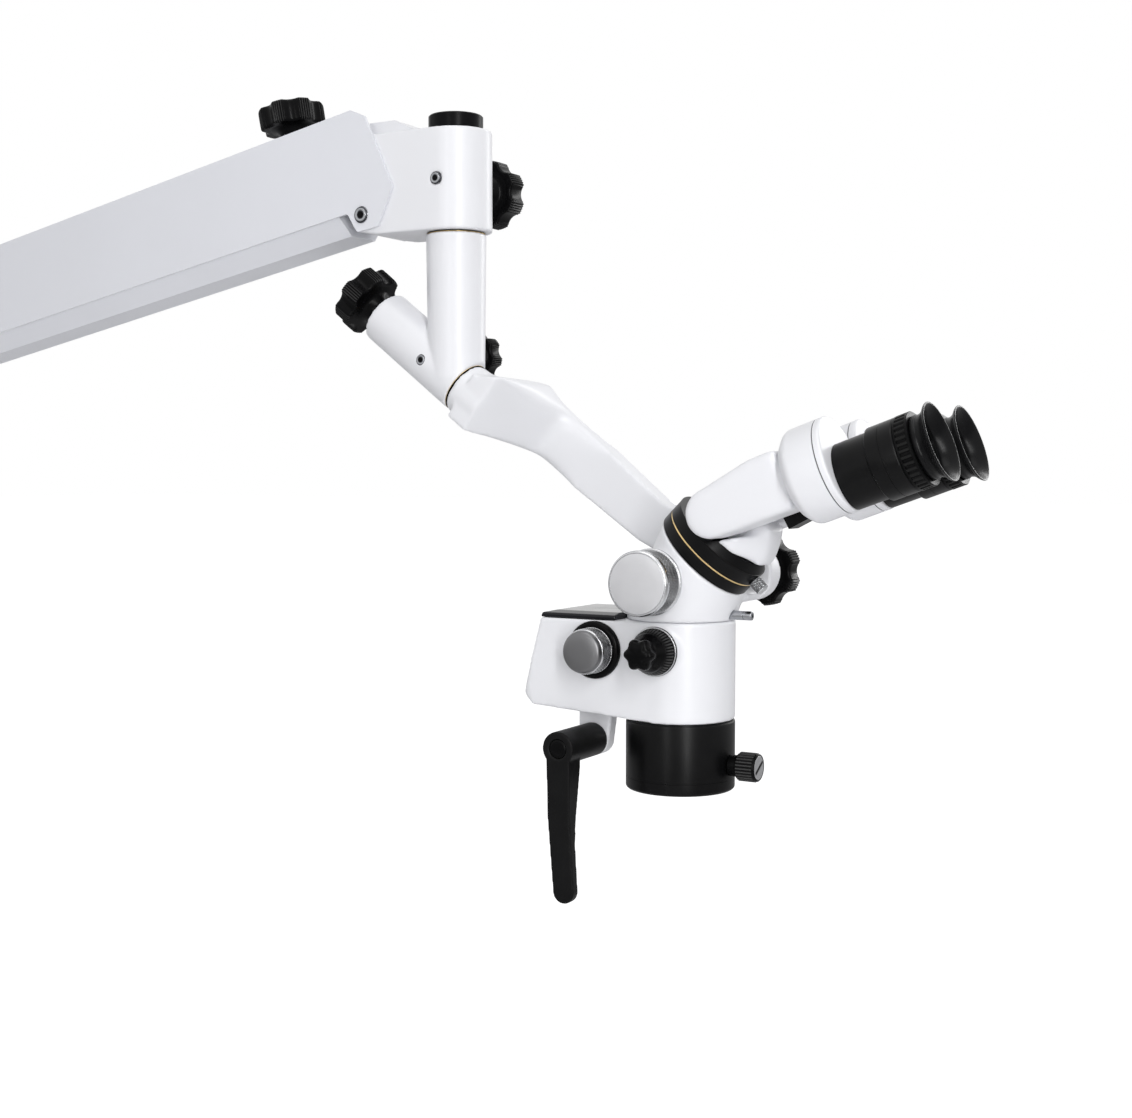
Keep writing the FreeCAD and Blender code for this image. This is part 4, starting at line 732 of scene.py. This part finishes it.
# Handle
# A black plastic lever, moulded in one with its hub, turns on a shoulder bolt
# in a bracket under the casing. The bolt's socket head sits in the hub.
matt_black = moulded("matt_black", (0.004, 0.004, 0.0042), 0.4, 1700, 0.00002, shine=0.1)
cast("handle", matt_black, "handle_lever", 0.0007, 7)
cast("head", white, "handle_bracket", 0.0009, 6)
hub_reach = 21
bolt_seat = anchor("handle_swing")[0] + hub_reach * near
bolt = turned(rounded((-0.4, 5.8), (0.2, 6.2, 0.2), (2.3, 6.2, 0.6), (2.7, 4.4, 0.5), (2.5, 3.4)), 72)
made("bolt_head", "head", "black_plastic", gloss_black, laid(bolt, bolt_seat, near))

# Tilting tube
# A cast base with a tongue carries the trunnion pin. On it tilts the housing of
# two prism pods, with a dark shield under their bridge to keep stray light out.
tongue_root = (884, 0, -126)
cast("tube_mount", white, "tube_base", 0.0012, 12, (tongue_root, 36, 260))
cast("binocular", white, "binocular_housing", 0.0014, 60)
dress(steel, "trunnion_pin")
dress(satin_black, "light_shield")

# Prism drums and eyepieces
# Two painted drums turn on the pods to set the eye distance. Each carries a
# black tube, a toothed ring that focuses the eyepiece, and a soft rubber cup.
rubber = moulded("eyecup_rubber", (0.003, 0.003, 0.0034), 0.28, 2400, 0.000015, sheen=0.02, shine=0.12)
# The ring's ribs get a faint painted highlight.
ring_black = moulded("ring_black", (0.002, 0.002, 0.0022), 0.28, highlight_grey=0.012)
eye_glass = coated("eye_lens_glass", (0.04, 0.10, 0.06))
ring_teeth = 36


def cup_wave(height, at, angle):
    """Relief of an eyecup: towards its rim it draws in on the side of the nose, by 0.35 (cos a - 1)."""
    rim_height = 11.7
    return np.clip(height / rim_height, 0, 1) ** 2 * (0.35 * np.cos(angle) - 0.35)


def seam(height, at, angle):
    """Relief of the seam in a prism drum, where its front cover meets it; the paint turns it dark as painted
    shade.
    """
    return np.where((height > 24.95) & (height < 25.65), -0.8, 0)


drum_profile = rounded(
    (7, 2), (7, 15.9), (0, 16.05), (0, 25.0, 0.8), (5, 30.4, 3.0), (24.9, 30.4), (25, 30.4), (25.6, 30.4),
    (25.7, 30.4), (29.2, 30.4, 1.2), (30, 29.0, 1.5), (30, 4))
tube_profile = rounded(
    (0.05, 12.5), (0.05, 20.8), (0.4, 21), (21.4, 21, 0.4), (22.4, 22.9, 0.4), (23.0, 23.0), (30.6, 23),
    (30.7, 22.8), (31.1, 22.8), (31.2, 23), (39.2, 23, 0.5), (40, 22.4), (40, 18), (3, 18), (3, 12.5))
ring_profile = rounded(
    (-10, 12.5), (-10, 17.9), (0, 17.95), (0, 22.6), (0.3, 23.2), (1.4, 23.2), (1.7, 22.2), (7.5, 22.2),
    (7.8, 23.2), (8.8, 23.2), (9.2, 22.8), (9.2, 17), (12.2, 17), (12.2, 12.5))
cup_profile = rounded(
    (0.1, 17.1), (0.1, 20.0, 0.8), (2.6, 20.2, 1.2), (3.6, 19.4, 1.4), (7.2, 20.6, 2.5), (10.2, 24.4, 1.2),
    (11.6, 25.2, 0.7), (11.7, 24.2, 0.5), (10.8, 22.8, 1.0), (7.6, 19.6, 2.5), (4.2, 17.6, 1.5), (2.5, 17.1))
drum = turned(drum_profile, 144, seam, 0.8)
eye_tube = turned(tube_profile, 128)
toothed_ring = turned(ring_profile, ring_teeth * 14, ribs(1.0, ring_teeth, 1.6, 7.6), 1.0)
cup = turned(cup_profile, 128, cup_wave)
ring_from_tube, cup_from_ring = 40.3, 9.3

for side_name, side in (("left", -1), ("right", 1)):
    ocular, diopter = "ocular_" + side_name, "diopter_" + side_name
    drum_seat, sight = anchor("eye_spread_" + side_name)
    ring_seat = anchor("diopter_turn_" + side_name)[0]
    tube_seat = ring_seat - ring_from_tube * sight
    cup_seat = ring_seat + cup_from_ring * sight
    made("drum_" + side_name, ocular, "white_paint", white, laid(drum, drum_seat, sight),
         stands_for=("prism_drum_" + side_name,))
    made("eye_tube_" + side_name, ocular, "black_anodised", satin_black, laid(eye_tube, tube_seat, sight),
         looped=True, stands_for=("eyepiece_tube_" + side_name,), crease=25)
    made("toothed_ring_" + side_name, diopter, "black_anodised", ring_black,
         laid(toothed_ring, ring_seat, sight), looped=True,
         stands_for=("diopter_ring_" + side_name,), crease=30)
    made("cup_" + side_name, diopter, "black_rubber", rubber, laid(cup, cup_seat, sight, (0, side, 0)),
         looped=True, stands_for=("eyecup_" + side_name,), crease=60)
    dress(eye_glass, "eye_lens_" + side_name)
